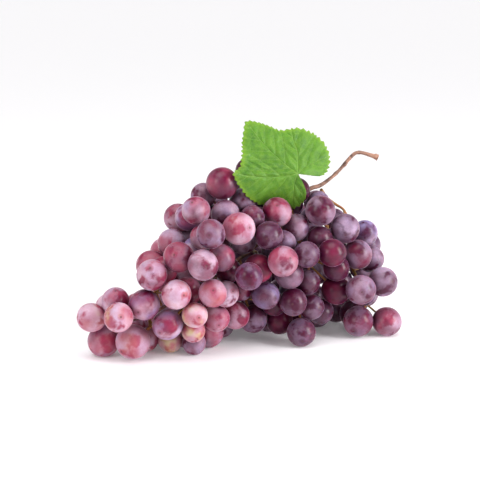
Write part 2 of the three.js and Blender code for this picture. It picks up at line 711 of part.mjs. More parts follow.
// A blade's point on its sight line, moved in front of or behind each berry that it meets.
function clearOfBerries(across, up, deep, berries) {
  const line = sightLine(across, up);
  const unit = times(line, 1 / size(line));
  let s = ((deep - EYE[1]) / line[1]) * size(line);
  for (const berry of berries) {
    const m = sub(berry.at, EYE);
    const middle = dot(m, unit);
    const aside2 = dot(m, m) - middle * middle;
    const need = berry.radius + LEAF_THICKNESS / 2 + LEAF_ROOM;
    if (aside2 >= need * need) continue;
    const half = Math.sqrt(need * need - aside2);
    if (s > middle - half && s < middle + half) s = s < middle ? middle - half : middle + half;
  }
  return add(EYE, times(unit, s));
}

// Faces between a ring of points and the next one out, which has as many steps or twice as many.
function betweenRings(inner, outer) {
  const stride = (outer.length - 1) / (inner.length - 1);
  const faces = [];
  for (let i = 0; i < inner.length - 1; i += 1) {
    const fan = outer.slice(i * stride, (i + 1) * stride + 1);
    fan.slice(1).forEach((spot, k) => faces.push([inner[i], fan[k], spot]));
    faces.push([inner[i], fan[stride], inner[i + 1]]);
  }
  return faces;
}

function leafMesh(berries, stems) {
  const curve = new THREE.SplineCurve(LEAF_OUTLINE.map(([x, y]) => new THREE.Vector2(x, y)));
  const edge = curve.getSpacedPoints(LEAF_STEPS);
  const near = berries.filter((b) => b.at[2] > LEAF_LOWEST);
  const spots = [onSight([...LEAF_HEART, leafDepth(0, 0)])];
  const rings = LEAF_RINGS.map(([share, stride]) => {
    const ring = [];
    for (let i = 0; i <= LEAF_STEPS; i += stride) {
      const tooth = share === 1 && i % 2 ? LEAF_TOOTH / edge[i].length() : 0;
      const p = edge[i].clone().multiplyScalar(share * (1 - tooth));
      ring.push(spots.length);
      const place = [p.x + LEAF_HEART[0], p.y + LEAF_HEART[1]];
      spots.push(clearOfBerries(...place, leafDepth(p.x, p.y), near));
    }
    return ring;
  });
  const faces = [];
  rings[0].slice(1).forEach((outer, i) => faces.push([0, rings[0][i], outer]));
  rings.slice(1).forEach((ring, k) => faces.push(...betweenRings(rings[k], ring)));
  const normals = spots.map(() => [0, 0, 0]);
  for (const [a, b, c] of faces) {
    const [u, v] = [sub(spots[b], spots[a]), sub(spots[c], spots[a])];
    const n = [u[1] * v[2] - u[2] * v[1], u[2] * v[0] - u[0] * v[2], u[0] * v[1] - u[1] * v[0]];
    for (const i of [a, b, c]) normals[i] = add(normals[i], n);
  }
  const positions = [];
  for (const way of [0.5, -0.5]) {
    spots.forEach((p, i) => {
      const n = normals[i];
      positions.push(...add(p, times(n, (way * LEAF_THICKNESS) / size(n))));
    });
  }
  const count = spots.length;
  const index = [];
  for (const [a, b, c] of faces) index.push(a, b, c, a + count, c + count, b + count);
  const inward = rings.slice(0, -1).reverse();
  const rim = [0, ...rings.map((ring) => ring[0]), ...rings[rings.length - 1].slice(1)];
  rim.push(...inward.map((ring) => ring[ring.length - 1]));
  rim.forEach((a, i) => {
    const b = rim[(i + 1) % rim.length];
    index.push(a, a + count, b + count, a, b + count, b);
  });
  const blade = new THREE.BufferGeometry();
  blade.setAttribute("position", new THREE.Float32BufferAttribute(positions, 3));
  blade.setIndex(index);
  const stalk = [spots[0], ...LEAF_STALK.map(onSight)];
  bendClear(stalk, berries, stems, LEAF_STALK_RADIUS + LEAF_ROOM, STALK_ROUNDS, true);
  const radii = stalk.map(() => LEAF_STALK_RADIUS);
  const stalkSolid = solidOf(stalkGeometry(stalk, radii, LEAF_STALK_SIDES));
  const solid = withoutScraps(solidOf(blade).add(stalkSolid));
  const mesh = new THREE.Mesh(
    geometryOf(solid),
    new THREE.MeshStandardMaterial({ color: LEAF_COLOUR, roughness: 0.6, metalness: 0 }),
  );
  mesh.name = "leaf";
  return mesh;
}

const stemPoints = MAIN_STEM.map(onSight);
const stemRadii = MAIN_STEM.map((row) => row[3]);
const stemStretches = stretches(stemPoints, stemRadii);
const laterals = Object.entries(LATERALS).map(([name, rows]) => {
  const points = clearOfMainStem(rows.map(onSight), stemStretches);
  const own = stretches(points, points.map(() => LATERAL_RADIUS));
  return { name, stretches: own, roots: stalkRoots(own) };
});
const allStems = [...stemStretches, ...laterals.flatMap((l) => l.stretches)];
const berries = placeBerries(allStems);
hangBerries(berries, laterals);

const bunch = new THREE.Group();
bunch.position.set(...ORIGIN_SHIFT);
bunch.add(mainStemMesh(stemPoints, stemRadii));
for (const lateral of laterals) {
  const own = berries.filter((b) => b.spray === lateral.name);
  const foreignStems = [
    ...stemStretches,
    ...laterals.filter((l) => l !== lateral).flatMap((l) => l.stretches),
  ];
  bunch.add(sprayMesh(lateral.name, lateral.stretches, own, berries, foreignStems));
}
bunch.add(leafMesh(berries, allStems));

export default bunch;
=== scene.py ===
import functools
import json
import math

import bpy
import numpy as np
from mathutils import Euler, Matrix, Vector


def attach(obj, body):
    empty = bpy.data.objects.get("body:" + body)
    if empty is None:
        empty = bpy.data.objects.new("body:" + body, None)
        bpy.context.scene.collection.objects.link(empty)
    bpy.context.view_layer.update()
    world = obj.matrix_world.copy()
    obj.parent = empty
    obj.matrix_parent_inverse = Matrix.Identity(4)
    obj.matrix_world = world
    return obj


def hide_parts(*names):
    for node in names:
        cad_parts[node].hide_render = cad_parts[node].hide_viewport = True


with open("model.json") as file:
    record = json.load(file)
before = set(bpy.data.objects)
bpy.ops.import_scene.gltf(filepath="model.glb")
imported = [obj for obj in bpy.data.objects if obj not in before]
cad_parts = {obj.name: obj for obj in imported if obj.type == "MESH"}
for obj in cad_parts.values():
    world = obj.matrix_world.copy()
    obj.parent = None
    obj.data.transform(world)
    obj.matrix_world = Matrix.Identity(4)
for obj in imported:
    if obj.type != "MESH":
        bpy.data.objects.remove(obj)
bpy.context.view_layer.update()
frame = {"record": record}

bl_info = {
    "name": "Bunch of Red Grapes",
    "version": (1, 0, 0),
    "blender": (4, 5, 0),
    "location": "View3D > Sidebar > Grapes",
    "description": "Bloomed berries on branching stalks with a toothed vine leaf",
    "category": "Add Mesh",
}

# The bunch is laid out in millimetres, on sight lines from the viewer, as its solids are: a
# place is given by how far across and up it is in the upright picture plane, SIGHT away, and
# how deep it lies. PICTURE_WIDTH is how much of that plane the camera sees. ORIGIN_SHIFT leads
# to the part's origin, and MM to metres.
MM = 0.001
SIGHT = 750
PICTURE_WIDTH = 319.2
VIEW_DROP = 0.225
VIEW_LEVEL = math.sqrt(1 - VIEW_DROP * VIEW_DROP)
VIEW_HEIGHT = 71.8
EYE = (0.0, -SIGHT * VIEW_LEVEL, VIEW_HEIGHT + SIGHT * VIEW_DROP)
ORIGIN_SHIFT = (-3.44, -4.46, 0.0)

BERRY_GAP = 0.4
STEM_GAP = 0.5
STEM_ROOM = 0.6
TABLE_FLAT = 0.4
LATERAL_RADIUS = 1.1
STALK_RADIUS = 0.8

# The berries that show: across, up, radius, and how much deeper than the bunch's front they
# lie, or ON_TABLE. In each group the nearer ones come first.
ON_TABLE = "on the table"
SEEN_BERRIES = [
    # the thin end
    (-70.5, -68, 11.6, ON_TABLE), (-81, -51, 9.8, 0), (-90, -67, 10.6, ON_TABLE),
    (-97.5, -51, 9.6, 12), (-47.5, -56, 10.4, -8), (-63, -43, 10.6, 4), (-82, -42, 9.4, 0),
    (-46, -67, 8.4, ON_TABLE), (-60.5, -67, 8.4, ON_TABLE), (-88, -45, 8.8, 0),
    (-69, -43.5, 8.6, 0),
    # the low left front
    (-41.5, -37, 10, 0), (-25.5, -16.5, 10.4, -12), (-17.5, -35.5, 9.8, 0), (-41, -12.5, 10.4, 3),
    (-58.5, -24, 10.4, 0), (-51, -19.5, 9.6, 0), (-58.5, -17, 10, 0), (-35, -34, 9.4, 0),
    (-31, -50.5, 9, 0), (-15.5, -52, 9.4, 0), (-3.5, -50, 9.6, 0), (-31.5, -60.5, 8.4, 0),
    (-21.5, -62, 10, ON_TABLE), (-33, -68.5, 8, ON_TABLE),
    # the low middle
    (6.5, -24, 9.2, 0), (29, -14.5, 10.6, 0), (12, -20.5, 9.8, 0), (-9.5, -32.5, 9.4, 0),
    (1, -33, 7.6, 0), (17, -36, 9.6, 6), (8.5, -52, 9.4, 0),
    # the upper left
    (0.5, 7.5, 10.8, 0), (-20, 3.5, 10, 0), (-12.5, -12, 9.2, 0), (-8, -24, 8.6, 0),
    (-29.5, 18.5, 9.6, 0), (-25.5, 1.5, 8.6, 0), (-32, -4.5, 8, 0), (-34.5, 15.5, 9.2, 0),
    (-40.5, 15, 9.4, 0), (-43, -2.5, 9.4, 0), (-9.5, 17.5, 9.6, 0), (-12.5, 37, 10.6, 0),
    (-23.5, 29.5, 8.6, 0),
    # the upper right
    (17.5, 4, 9.8, 0), (24, 18, 9.8, 0), (28.5, -2, 8.6, 0), (37, 9, 9.4, 0), (53, 19, 10.2, 0),
    (69, 6.5, 9.8, 0), (78, -9, 9.8, 0), (83, 4.5, 8.6, 0), (44, -10.5, 8.8, 0),
    (60.5, -8.5, 9.4, 0),
    # the low right
    (34, -22.5, 9.8, 0), (44, -28.5, 8.8, 0), (34.5, -41, 9.2, 4), (42, -61, 9.6, ON_TABLE),
    (46, -46.5, 8.8, 6), (26, -53, 9, 0), (53, -47, 8.6, 0), (22.5, -42.5, 8, 0),
    (81, -33, 9.8, 0), (93, -29, 9.8, 0), (86.5, -12.5, 8.8, 0), (64, -33, 9.6, 8),
    (81, -54, 10, ON_TABLE), (95, -54.5, 9.6, ON_TABLE), (75.5, -49, 9, 0), (84, -35, 7.6, 0),
    # behind the others
    (64, -18.5, 8.6, 0), (55, 1.5, 8.4, 0), (2, 25, 9.4, 0), (9.5, 12.5, 8.4, 0),
    (2.5, 0.5, 8.6, 0), (5.5, 46, 8.4, 0), (38, 32.5, 8.6, 0), (50.5, 24.5, 8.6, 0),
    (54, 23, 8.6, 0), (60, 15, 7.6, 0),
]

# Small late berries in the room behind the gaps between those that show: across, up, deep, radius.
GAP_BERRIES = [
    (-59.5, -58, 12, 7.2), (-56, -50, 38, 8.4), (-40, -26, -8, 9.4), (-54, -38, 28, 9.4),
    (10, -8, 64, 6), (-16, 26, 53, 8.4), (26, -32, 68, 6.9), (-38, -66, -8, 5.2), (38, -52, 28, 7.2),
    (62, 2, 27, 6.6), (-26, -28, 50, 9), (40, 18, 71, 7), (72, -40, 62, 7),
]

# The form of the bunch: x, and there the middle and half width in y and in z of the ellipse on
# which the berries' centres lie.
SECTIONS = [
    (-107, -34, 8, 20, 14), (-82, -27, 16, 21, 16), (-58, -14, 24, 33, 28), (-30, 2, 32, 47, 42),
    (0, 18, 38, 51, 46), (35, 28, 38, 51, 46), (70, 34, 32, 42, 40), (105, 36, 12, 22, 22),
]
BACK_SHARE = 0.78
SEED = 1187
BACK_STEP = 20.4
BACK_ROW_STARTS = (0.75, 0.25)
BACK_ROW_STEP = 17.2
BACK_START = -84
BACK_END = 98
BACK_WANDER = 5
BACK_RADIUS = 8.5
BACK_RADIUS_DRAW = 1.5
BACK_CROWD = 0.62
ARC_STEPS = 60
INSIDE_STEP = 6
INSIDE_SHARE = 0.8
INSIDE_LEAST = 9.3
INSIDE_MOST = 9.6
PEEK_REACH = 1.12
PEEK_RIM = 0.95
PEEK_TESTS = 12
PEEK_POINTS = 1
START_SHARE = 0.8
SEEN_ROUNDS = 160
ALL_ROUNDS = 120
SIDE_PULL = 0.35
DEPTH_PULL = 0.03
TABLE_PULL = 0.3
BACK_PULL = 0.04
SEEN_YIELDS = 0.25
FRONT_STEPS = 6

# The main stem from its cut end to the thin end of the bunch: across, up, deep, radius.
MAIN_STEM = [
    (91.6, 54.7, 46, 2.3), (90.2, 55.3, 46, 1.9), (86.5, 56.5, 45.5, 1.6), (81.8, 57.9, 45, 1.5),
    (78.5, 58.2, 44.5, 1.5), (75.8, 57.2, 44, 1.4), (72.5, 53.9, 43, 1.4), (68.5, 49.2, 42, 1.4),
    (65.2, 45.6, 41, 1.4), (61.2, 41.9, 40, 1.4), (56.5, 38.2, 38, 1.5), (52.5, 35.9, 36, 1.6),
    (47.2, 34.3, 34, 1.7), (40, 29, 34, 1.8), (30, 16.6, 33, 1.8), (14.6, 0, 28, 1.7),
    (-3, -14.6, 20, 1.6), (-23, -28.6, 8, 1.5), (-43, -40, -4, 1.4), (-61, -50, -13, 1.2),
    (-76.5, -54.5, -20, 1.0),
]

# The laterals: each starts on the main stem and carries one spray: across, up, deep.
LATERALS = {
    "spray_wing": [(42, 30.5, 34), (56.5, 10.5, 40), (70, -9.5, 38), (80, -30.5, 32), (84, -45, 30)],
    "spray_shoulder": [(52.5, 35.5, 36), (58, 28, 41), (64, 23.5, 41), (69, 20, 40), (73, 12, 42)],
    "spray_top": [(37, 26.5, 34), (29.5, 32, 28), (14.5, 34.5, 24)],
    "spray_crown": [(30, 16.5, 33), (24, 9.5, 16)],
    "spray_right_middle": [(24.5, 10.5, 31), (40, -2, 20), (46, -18.5, 14)],
    "spray_right_low": [(14.5, 0, 28), (29.5, -18.5, 18), (37, -38.5, 14), (40, -52, 12)],
    "spray_middle_top": [(12, -2.5, 27), (-1.5, 9.5, 12), (-8, 21.5, 12)],
    "spray_middle": [(0, -12, 22), (1.5, -24, 2), (4, -41, 4)],
    "spray_left_top": [(-9.5, -18.5, 17), (-22, 5.5, 2)],
    "spray_left": [(-23, -28.5, 8), (-33.5, -14.5, -10)],
    "spray_front": [(-17.5, -24.5, 12), (-18.5, -40, -14), (-18.5, -52, -10)],
    "spray_front_low": [(-40, -38, -2), (-38.5, -46.5, -22)],
    "spray_tip_left": [(-52, -44.5, -8), (-56.5, -33.5, -24)],
    "spray_tip_low": [(-60, -49, -12), (-60, -58.5, -24)],
    "spray_tip": [(-75, -54, -19), (-85, -52, -30)],
    "spray_back_right": [(33.5, 21.5, 33.5), (40, 2.5, 56), (48, -20, 60)],
    "spray_back_middle": [(6.5, -6.5, 25), (12, -10.5, 48), (14.5, -33.5, 52)],
    "spray_back_left": [(-14.5, -22.5, 13), (-14.5, -14.5, 34), (-16.5, -33.5, 34)],
    "spray_back_low": [(-33.5, -34, 2), (-38.5, -33.5, 20)],
    "spray_back_tip": [(-66.5, -52, -16), (-70, -48, -2)],
}
CLEAR_STEP = 0.01
LATERAL_FREE = 0.35
ROOT_STEP = 1.7
STALK_STEP = 5
STALK_SMOOTH = 0.3
STALK_OUTSIDE = 1.02
STALK_ROUNDS = 40
STALK_LAST_ROUNDS = 15
STALK_MEETS = 40

# A berry's own form, for a radius of 1: the angles of its rings from the tip, and the height
# and reach of the dimple and scar at its tip and of the dent at its foot.
BERRY_AROUND = 32
BERRY_TIP_RINGS = [0.0, 0.025, 0.05, 0.075, 0.11, 0.16, 0.23, 0.32]
BERRY_SIDE_RINGS = (0.43, math.pi - 0.3, 17)
BERRY_FOOT_RINGS = [0.2, 0.12, 0.05, 0.0]
BERRY_DIMPLE = (0.012, 0.12)
BERRY_SCAR = (0.02, 0.035)
BERRY_DENT = (0.05, 0.16)
BERRY_UNROUND = 0.012

# The finer stalks: how they swell where they join, and how knobbly they are, in metres.
LATERAL_FINE = 8
STALK_FINE = 4
LATERAL_START = 1.15
LATERAL_END = 0.8
STALK_SUNK = 0.86
COLLAR = 2.2
COLLAR_SWELL = 0.95
COLLAR_BEND = 1.6
ROOT_SWELL = 0.35
ROOT_SHARE = 0.02
BERRY_WAVE = 0.012
STALK_FORM = {"Sides": 8, "Knobbliness": 0.00016, "Wave Length": 0.0016}
LEAF_STALK_FORM = {"Sides": 14, "Knobbliness": 0.00006, "Wave Length": 0.002}

# The main stem's bark: its waves (height, times round, turn along the stem, start), its knots
# (place along it, height), and the rings of a closed end (share of the radius, how far sunk).
STEM_AROUND = 28
STEM_PER_STEP = 12
STEM_SLIM = 0.84
STEM_FLARE = 0.06
STEM_WAVES = [(0.055, 5, 9, math.pi / 2), (0.03, 3, 40, 0), (0.05, 2, 25, 0)]
STEM_KNOTS = [(0.055, 0.3), (0.19, 0.22), (0.335, 0.35), (0.42, 0.3)]
STEM_KNOT_REACH = 0.012
STEM_KNOT_EVEN = 0.7
STEM_KNOT_UNEVEN = 0.5
STEM_KNOT_TWIST = 30
END_RINGS = [(0.93, 0.0), (0.6, 0.12), (0.25, 0.2)]
END_SUNK = 0.2
CUT_ROUGH = 0.06
CUT_GRAIN = 7

# The leaf: its heart, where the stalk meets the blade, and its outline round the heart.
LEAF_HEART = (38.5, 44)
LEAF_OUTLINE = [
    (7.3, -0.3), (14, -1.6), (18.5, 0), (21.5, 5), (21.6, 12), (18.5, 20), (12, 26.5), (4, 30.3),
    (-3, 31), (-9, 29.6), (-13, 29.8), (-19, 32.2), (-27, 34.8), (-34.8, 35.4), (-36.5, 29),
    (-37.8, 20), (-38.2, 12), (-39.2, 5), (-43.6, 0.6), (-41.4, -5.5), (-37.2, -12),
    (-32.5, -16.8), (-27, -20.4), (-19, -22.8), (-12, -24.3), (-6, -24.2), (0, -22.6),
    (4.4, -18.4), (5.6, -12), (2.7, -5.2),
]
LEAF_ROOM = 0.6
LEAF_LOWEST = 60
LEAF_DEEP = 10.5
LEAF_SLANT = 0.42
LEAF_LEAN = 0.3
LEAF_CUP = 0.0035
LEAF_TUCK = -0.1
LEAF_HOLLOW = 8
LEAF_HOLLOW_AT = (-14, -24)
LEAF_HOLLOW_SIZE = (12.7, 9.9)
LEAF_STALK = [(39, 44, 19), (39.5, 43.5, 27), (38.5, 42, 35), (36, 40, 43), (32, 36.5, 50)]
LEAF_STALK_RADIUS = 1.0
LEAF_STALK_ROOM = 1.0
LEAF_STALK_DEEPER = 0.4
LEAF_STALK_FINE = 8
LEAF_STALK_START = 0.75
LEAF_STALK_GAIN = 0.2
LEAF_STALK_FOOT = 2.5
LEAF_STALK_FOOT_FROM = 0.9

# The blade's veins round the heart, and the side veins that each of them gives off.
LEAF_VEINS = {
    "middle": [(0, 0), (-8.5, 6.3), (-22.3, 19.3), (-34.4, 34.6)],
    "left": [(0, 0), (-8.7, -1.5), (-24.5, -2.3), (-36.2, -0.9), (-43, 0.6)],
    "up": [(0, 0), (0, 7.7), (-0.5, 14.8), (-3.1, 22.5), (-4.8, 30.4)],
    "down": [(0, 0), (-2, -5), (-2.9, -11.6), (-4, -23.6)],
    "right": [(0, 0), (4, 3.7), (12, 8.2), (21, 11.8)],
}
LEAF_THICKNESS = 0.45
LEAF_AROUND = 420
LEAF_RINGS = 66
LEAF_TOOTH = 1.7
LEAF_TOOTH_STEP = 3.3
TOOTH_TIP = 0.6
TOOTH_STEP_LEAST = 0.7
TOOTH_STEP_DRAW = 0.7
TOOTH_DEPTH_LEAST = 0.55
TOOTH_DEPTH_DRAW = 0.6
TOOTHLESS_END = 6
EDGE_FINE = 12

# A vein's width, its share at the start, how much of it is lost on the way, and its strength.
MAIN_VEIN = (0.32, 1.25, 0.85, 1.0)
SIDE_VEIN = (0.19, 1.3, 0.8, 0.5)
MAIN_VEIN_FINE = 6
SIDE_VEIN_FINE = 10
SIDE_VEIN_STEP = 9.0
SIDE_VEIN_START = 0.8
SIDE_VEIN_END = 3
SIDE_VEIN_REACH = 0.62
SIDE_VEIN_LEAST = 4
SIDE_VEIN_TURN = 0.86
SIDE_VEIN_BEND = 0.35
SIDE_VEIN_PARTS = 8
FAR_AWAY = 1e9

# The blade's relief and thickness; the powers say how near the edge each change comes.
VEIN_SUNK = 0.45
VEIN_BELOW = 0.25
BLADE_PUFF = 0.95
PUFF_REACH = 1.7
PUFF_POWER = 6
BLADE_WAVE = 0.5
WAVE_POWER = 3
EDGE_WAVES = [(1.0, 7, 0), (0.6, 17, 1)]
RING_POWER = 0.8
HALF_THICKNESS = 0.5
EDGE_THINNING = 0.3
THINNING_POWER = 8

# How near another berry's skin must be for the bloom to be rubbed and for the painted shade between
# the berries, in metres.
CLOSE_REACH = 0.0045

# How ripe some of the berries that show are, from 0, still green, to 1, fully dark; the others
# follow their place along the bunch. The numbers are their places in SEEN_BERRIES. Those at 0.85,
# and 35, 54, 60 and 66, lie in shadow: their darker skin is partly painted shade.
RIPENESS_OF = {
    0.06: [7],
    0.14: [19, 22],
    0.25: [0, 1, 3, 8, 11],
    0.36: [2, 9, 10, 13, 17, 20, 32],
    0.46: [4, 5, 14, 15, 16, 18, 21, 26, 28, 46],
    0.56: [12, 27, 34, 43, 68],
    0.72: [35, 48, 49, 51, 54, 60, 63, 66, 67],
    0.85: [62, 69, 71, 72],
    0.95: [76, 77],
}
# Those with hardly any bloom (35, 54, 60, 62, 66, 69, 71 and 72 lie in shadow, and their bare
# dark skin is painted shade), and those under a thick one.
BARE_AND_SHADE_PAINTED = [27, 35, 43, 54, 60, 62, 66, 69, 71, 72, 76, 77]
THICK_BLOOMED = [1, 4, 9, 11, 12, 28, 32, 36, 38, 39, 50, 52, 64, 78]
THIN_BLOOMED = [14, 16, 18, 25, 34, 45, 53, 57, 58, 59, 61, 67, 74]
BLUE_BLOOMED = [2, 4, 5, 25, 29, 30, 38, 39, 48, 52]
# Those with a clear bare spot right in front, facing the eye: rubbed bloom, and painted sheen,
# as the bloom then shows thin in the middle and pale at the rim.
WINDOWED = [12, 32, 0, 2, 52, 26, 68]
ROSY_UNTIL = -70
DARK_FROM = 50

# Least value and seeded draw of what differs from berry to berry.
RIPENESS_LEAST = 0.36
RIPENESS_GAIN = 0.6
RIPENESS_DRAW = 0.16
BLOOM = (0.95, 0.4)
BLOOM_LOSS = 0.3
BLOOM_OF = [
    (BARE_AND_SHADE_PAINTED, 0.05, 0.2),
    (THIN_BLOOMED, 0.4, 0.2),
    (THICK_BLOOMED, 1.3, 0.3),
]
BLUENESS = (0.1, 0.35)
BLUE_BLUENESS = (0.75, 0.25)
# Bare windows face the eye, turned aside by these: rubbed bloom, and painted sheen with the bloom
# thick at the rim.
WINDOW_ASIDE = (-0.7, 1.4)
WINDOW_EDGE = (0.86, 0.35)
FRONT_WINDOW_ASIDE = (0.1, 0.0, 0.05)
FRONT_WINDOW_EDGE = 0.93
SEED_DRAW = 10
LENGTH = (0.99, 0.035)

# The skin's colours, and the ripeness from and to which each takes the place of the last.
SKIN_COLOURS = (
    "Green", "Amber", "Rosy", "Red", "Dark", "Light Bloom", "Dark Bloom", "Blue Bloom", "Scar",
)
SKIN_STEPS = {"Amber": (0.0, 0.18), "Rosy": (0.14, 0.34), "Red": (0.3, 0.62), "Dark": (0.45, 0.88)}
RIPENESS_NOISE = 0.95
RIPENESS_SWING = 0.8
# Painted shade between the berries: how much riper, so darker, the skin is made where another berry
# is close.
PAINTED_SHADE_BETWEEN = 0.2
WINDOW_NOISE = (2.2, 3.0, 0.6)
WINDOW_RAGGED = 0.3
SPECK_SCALE = 5.0
FINE_NOISE = (24.0, 2.0, 0.6)
FINE_SHARE = 0.4
BARK_STREAKS = 0.7
BARK_SPOTS = 0.6
LEAF_FRESHNESS = 0.55
LEAF_NET_SCALE = 0.75
LEAF_NET_SHARE = 0.08
LEAF_VEIN_SHARE = 0.55
LEAF_PALENESS = 0.45
LEAF_FIELD_HEIGHT = 0.4

# The noise fields of the looks: the noise's scale, detail, roughness and distortion, the range
# of it that counts, and what that range becomes.
FIELDS = {
    "bloom": (0.8, 1.0, 0.4, 0.0, 0.32, 0.66, 0.2, 0.78),
    "cloud": (3.6, 3.0, 0.65, 0.0, 0.25, 0.75, 0.7, 1.0),
    "streaks": (8.0, 2.0, 0.7, 1.5, 0.54, 0.72, 1.0, 0.8),
    "windows": (1.3, 2.0, 0.5, 0.2, 0.5, 0.7, 1.0, 0.1),
    "blueness": (0.7, 1.0, 0.5, 0.0, 0.35, 0.6, 0.0, 1.0),
    "specks": (2.0, 1.0, 0.5, 0.0, 0.48, 0.6, 0.0, 1.0),
    "bark": (0.16, 2.0, 0.5, 0.0, 0.35, 0.65, 0.0, 1.0),
    "bark streaks": (0.8, 4.0, 0.65, 0.0, 0.35, 0.7, 0.0, 1.0),
    "bark spots": (2.6, 2.0, 0.6, 0.0, 0.58, 0.72, 0.0, 1.0),
    "leaf tones": (0.07, 3.0, 0.6, 0.0, 0.35, 0.65, 0.0, 1.0),
    "leaf fields": (0.35, 3.0, 0.6, 0.0, 0.3, 0.7, 0.0, 1.0),
}

# Ranges of other values, and what they become.
STEPS = {
    "window edge": (-0.06, 0.07, 1.0, 0.2),
    # The bloom kept where another berry is close: partly rubbed bloom, partly painted shade between
    # the berries.
    "rubbed bloom and painted shade": (0.0, 1.0, 1.0, 0.25),
    "dark bloom": (0.3, 0.9, 0.0, 1.0),
    "speck": (0.03, 0.08, 0.6, 0.0),
    "halo": (0.955, 0.994, 0.0, 0.5),
    "tip": (0.9955, 0.998, 0.0, 0.65),
    "skin roughness": (0.0, 0.7, 0.24, 0.42),
    "bark roughness": (0.0, 1.0, 0.5, 0.72),
    "near the cut": (0.05, 0.28, 0.7, 0.0),
    "cut wood": (0.2, 0.8, 0.0, 1.0),
    "leaf rim": (0.88, 1.0, 0.0, 0.5),
    "leaf net": (0.0, 0.09, 1.0, 0.0),
    "leaf roughness": (0.0, 1.0, 0.36, 0.5),
}

# The stage: sizes and places in metres; each soft box has its place, width, height and share of
# the side light's power.
FLOOR_REACH = 40.0
HORIZON = (0.06, 0.3)
HORIZON_LIGHT = 0.95
STAGE_MIDDLE = (0.0, 0.0, 0.06)
OVER_SPREAD = math.radians(50)
OVER_TURN = (0.2, -0.12, 0.0)
SOFT_BOXES = {
    "right": ((0.8, -0.35, 0.35), 0.35, 0.7, 2.0),
    "left": ((-0.7, -0.7, 0.5), 0.35, 0.5, 0.7),
}
SENSOR_WIDTH = 36.0
NEAREST_SEEN = 0.05


def add(a, b):
    return (a[0] + b[0], a[1] + b[1], a[2] + b[2])


def sub(a, b):
    return (a[0] - b[0], a[1] - b[1], a[2] - b[2])


def times(a, k):
    return (a[0] * k, a[1] * k, a[2] * k)


def dot(a, b):
    return a[0] * b[0] + a[1] * b[1] + a[2] * b[2]


def size(a):
    return math.sqrt(dot(a, a))


def mix(a, b, t):
    return a + (b - a) * t


def blend(a, b, t):
    return (mix(a[0], b[0], t), mix(a[1], b[1], t), mix(a[2], b[2], t))


def in_frame(p):
    """A laid-out point in the part's frame, in metres."""
    return times(add(p, ORIGIN_SHIFT), MM)


def seeded_draw(seed):
    """Numbers from 0 to 1 from a small generator, the same on every run."""
    state = seed

    def draw():
        nonlocal state
        state = (state * 16807) % 2147483647
        return state / 2147483647

    return draw


def sight_line(across, up):
    """From the eye to a point of the picture plane; a share of 1 reaches the plane."""
    return (across, SIGHT * VIEW_LEVEL + up * VIEW_DROP, up * VIEW_LEVEL - SIGHT * VIEW_DROP)


def along_sight(line, s):
    return add(EYE, times(line, s))


def on_sight(across, up, deep):
    line = sight_line(across, up)
    return along_sight(line, (deep - EYE[1]) / line[1])


def in_picture(p):
    """Where a point shows in the picture plane, and how far along its sight line it is."""
    m = sub(p, EYE)
    far = (m[1] * VIEW_LEVEL - m[2] * VIEW_DROP) / SIGHT
    return m[0] / far, (m[1] * VIEW_DROP + m[2] * VIEW_LEVEL) / far, far


class Berry:
    """One berry: where it lies, where it is drawn to, and the spray that it hangs on."""

    def __init__(self, at, radius, home, line=None, share=0.0, stands=False):
        self.at = at
        self.radius = radius
        self.home = home
        self.line = line
        self.share = share
        self.stands = stands
        self.seen = line is not None
        self.spray = None
        self.root = None


class Stretch:
    """A straight stretch of stem between two points, with a radius at each."""

    def __init__(self, a, b, radius_a, radius_b):
        self.a = a
        self.b = b
        self.radius_a = radius_a
        self.radius_b = radius_b
        self.middle = blend(a, b, 0.5)
        self.reach = size(sub(b, a)) / 2 + max(radius_a, radius_b) + STEM_ROOM


def section_at(x):
    """The middle and half width of the bunch's form at x, in y and in z."""
    if x <= SECTIONS[0][0]:
        return SECTIONS[0][1:]
    if x >= SECTIONS[-1][0]:
        return SECTIONS[-1][1:]
    i = next(i for i, section in enumerate(SECTIONS) if x <= section[0])
    a, b = SECTIONS[i - 1], SECTIONS[i]
    t = (x - a[0]) / (b[0] - a[0])
    return tuple(mix(p, q, t) for p, q in zip(a[1:], b[1:]))


def front_along(line):
    """How far along a sight line the front of the bunch's form is."""
    s = 1
    for _ in range(FRONT_STEPS):
        x, _, z = along_sight(line, s)
        deep, half_deep, high, half_high = section_at(x)
        rise = (z - high) / half_high
        wanted = deep - half_deep * math.sqrt(max(1 - rise * rise, 0))
        s = (wanted - EYE[1]) / line[1]
    return s


def behind_along(line, share, other, other_radius):
    """How far along a sight line a berry of this share just clears another's far side."""
    m = sub(EYE, other)
    a = dot(line, line) - share * share
    b = dot(m, line) - share * other_radius
    c = dot(m, m) - other_radius * other_radius
    root = b * b - a * c
    return 0 if root < 0 else (math.sqrt(root) - b) / a


def start_seen_berries():
    """The berries that show, on the front of the form, behind those already placed."""
    berries = []
    for across, up, radius, deeper in SEEN_BERRIES:
        line = sight_line(across, up)
        stands = deeper == ON_TABLE
        table = (EYE[2] + TABLE_FLAT) / (radius - line[2])
        front = table if stands else front_along(line) + deeper / line[1]
        home = min(front, table)
        s = home
        for other in berries:
            reach = other.radius * START_SHARE
            s = max(s, behind_along(line, radius * START_SHARE, other.at, reach))
        berries.append(Berry(along_sight(line, s), s * radius, home, line, radius, stands))
    return berries


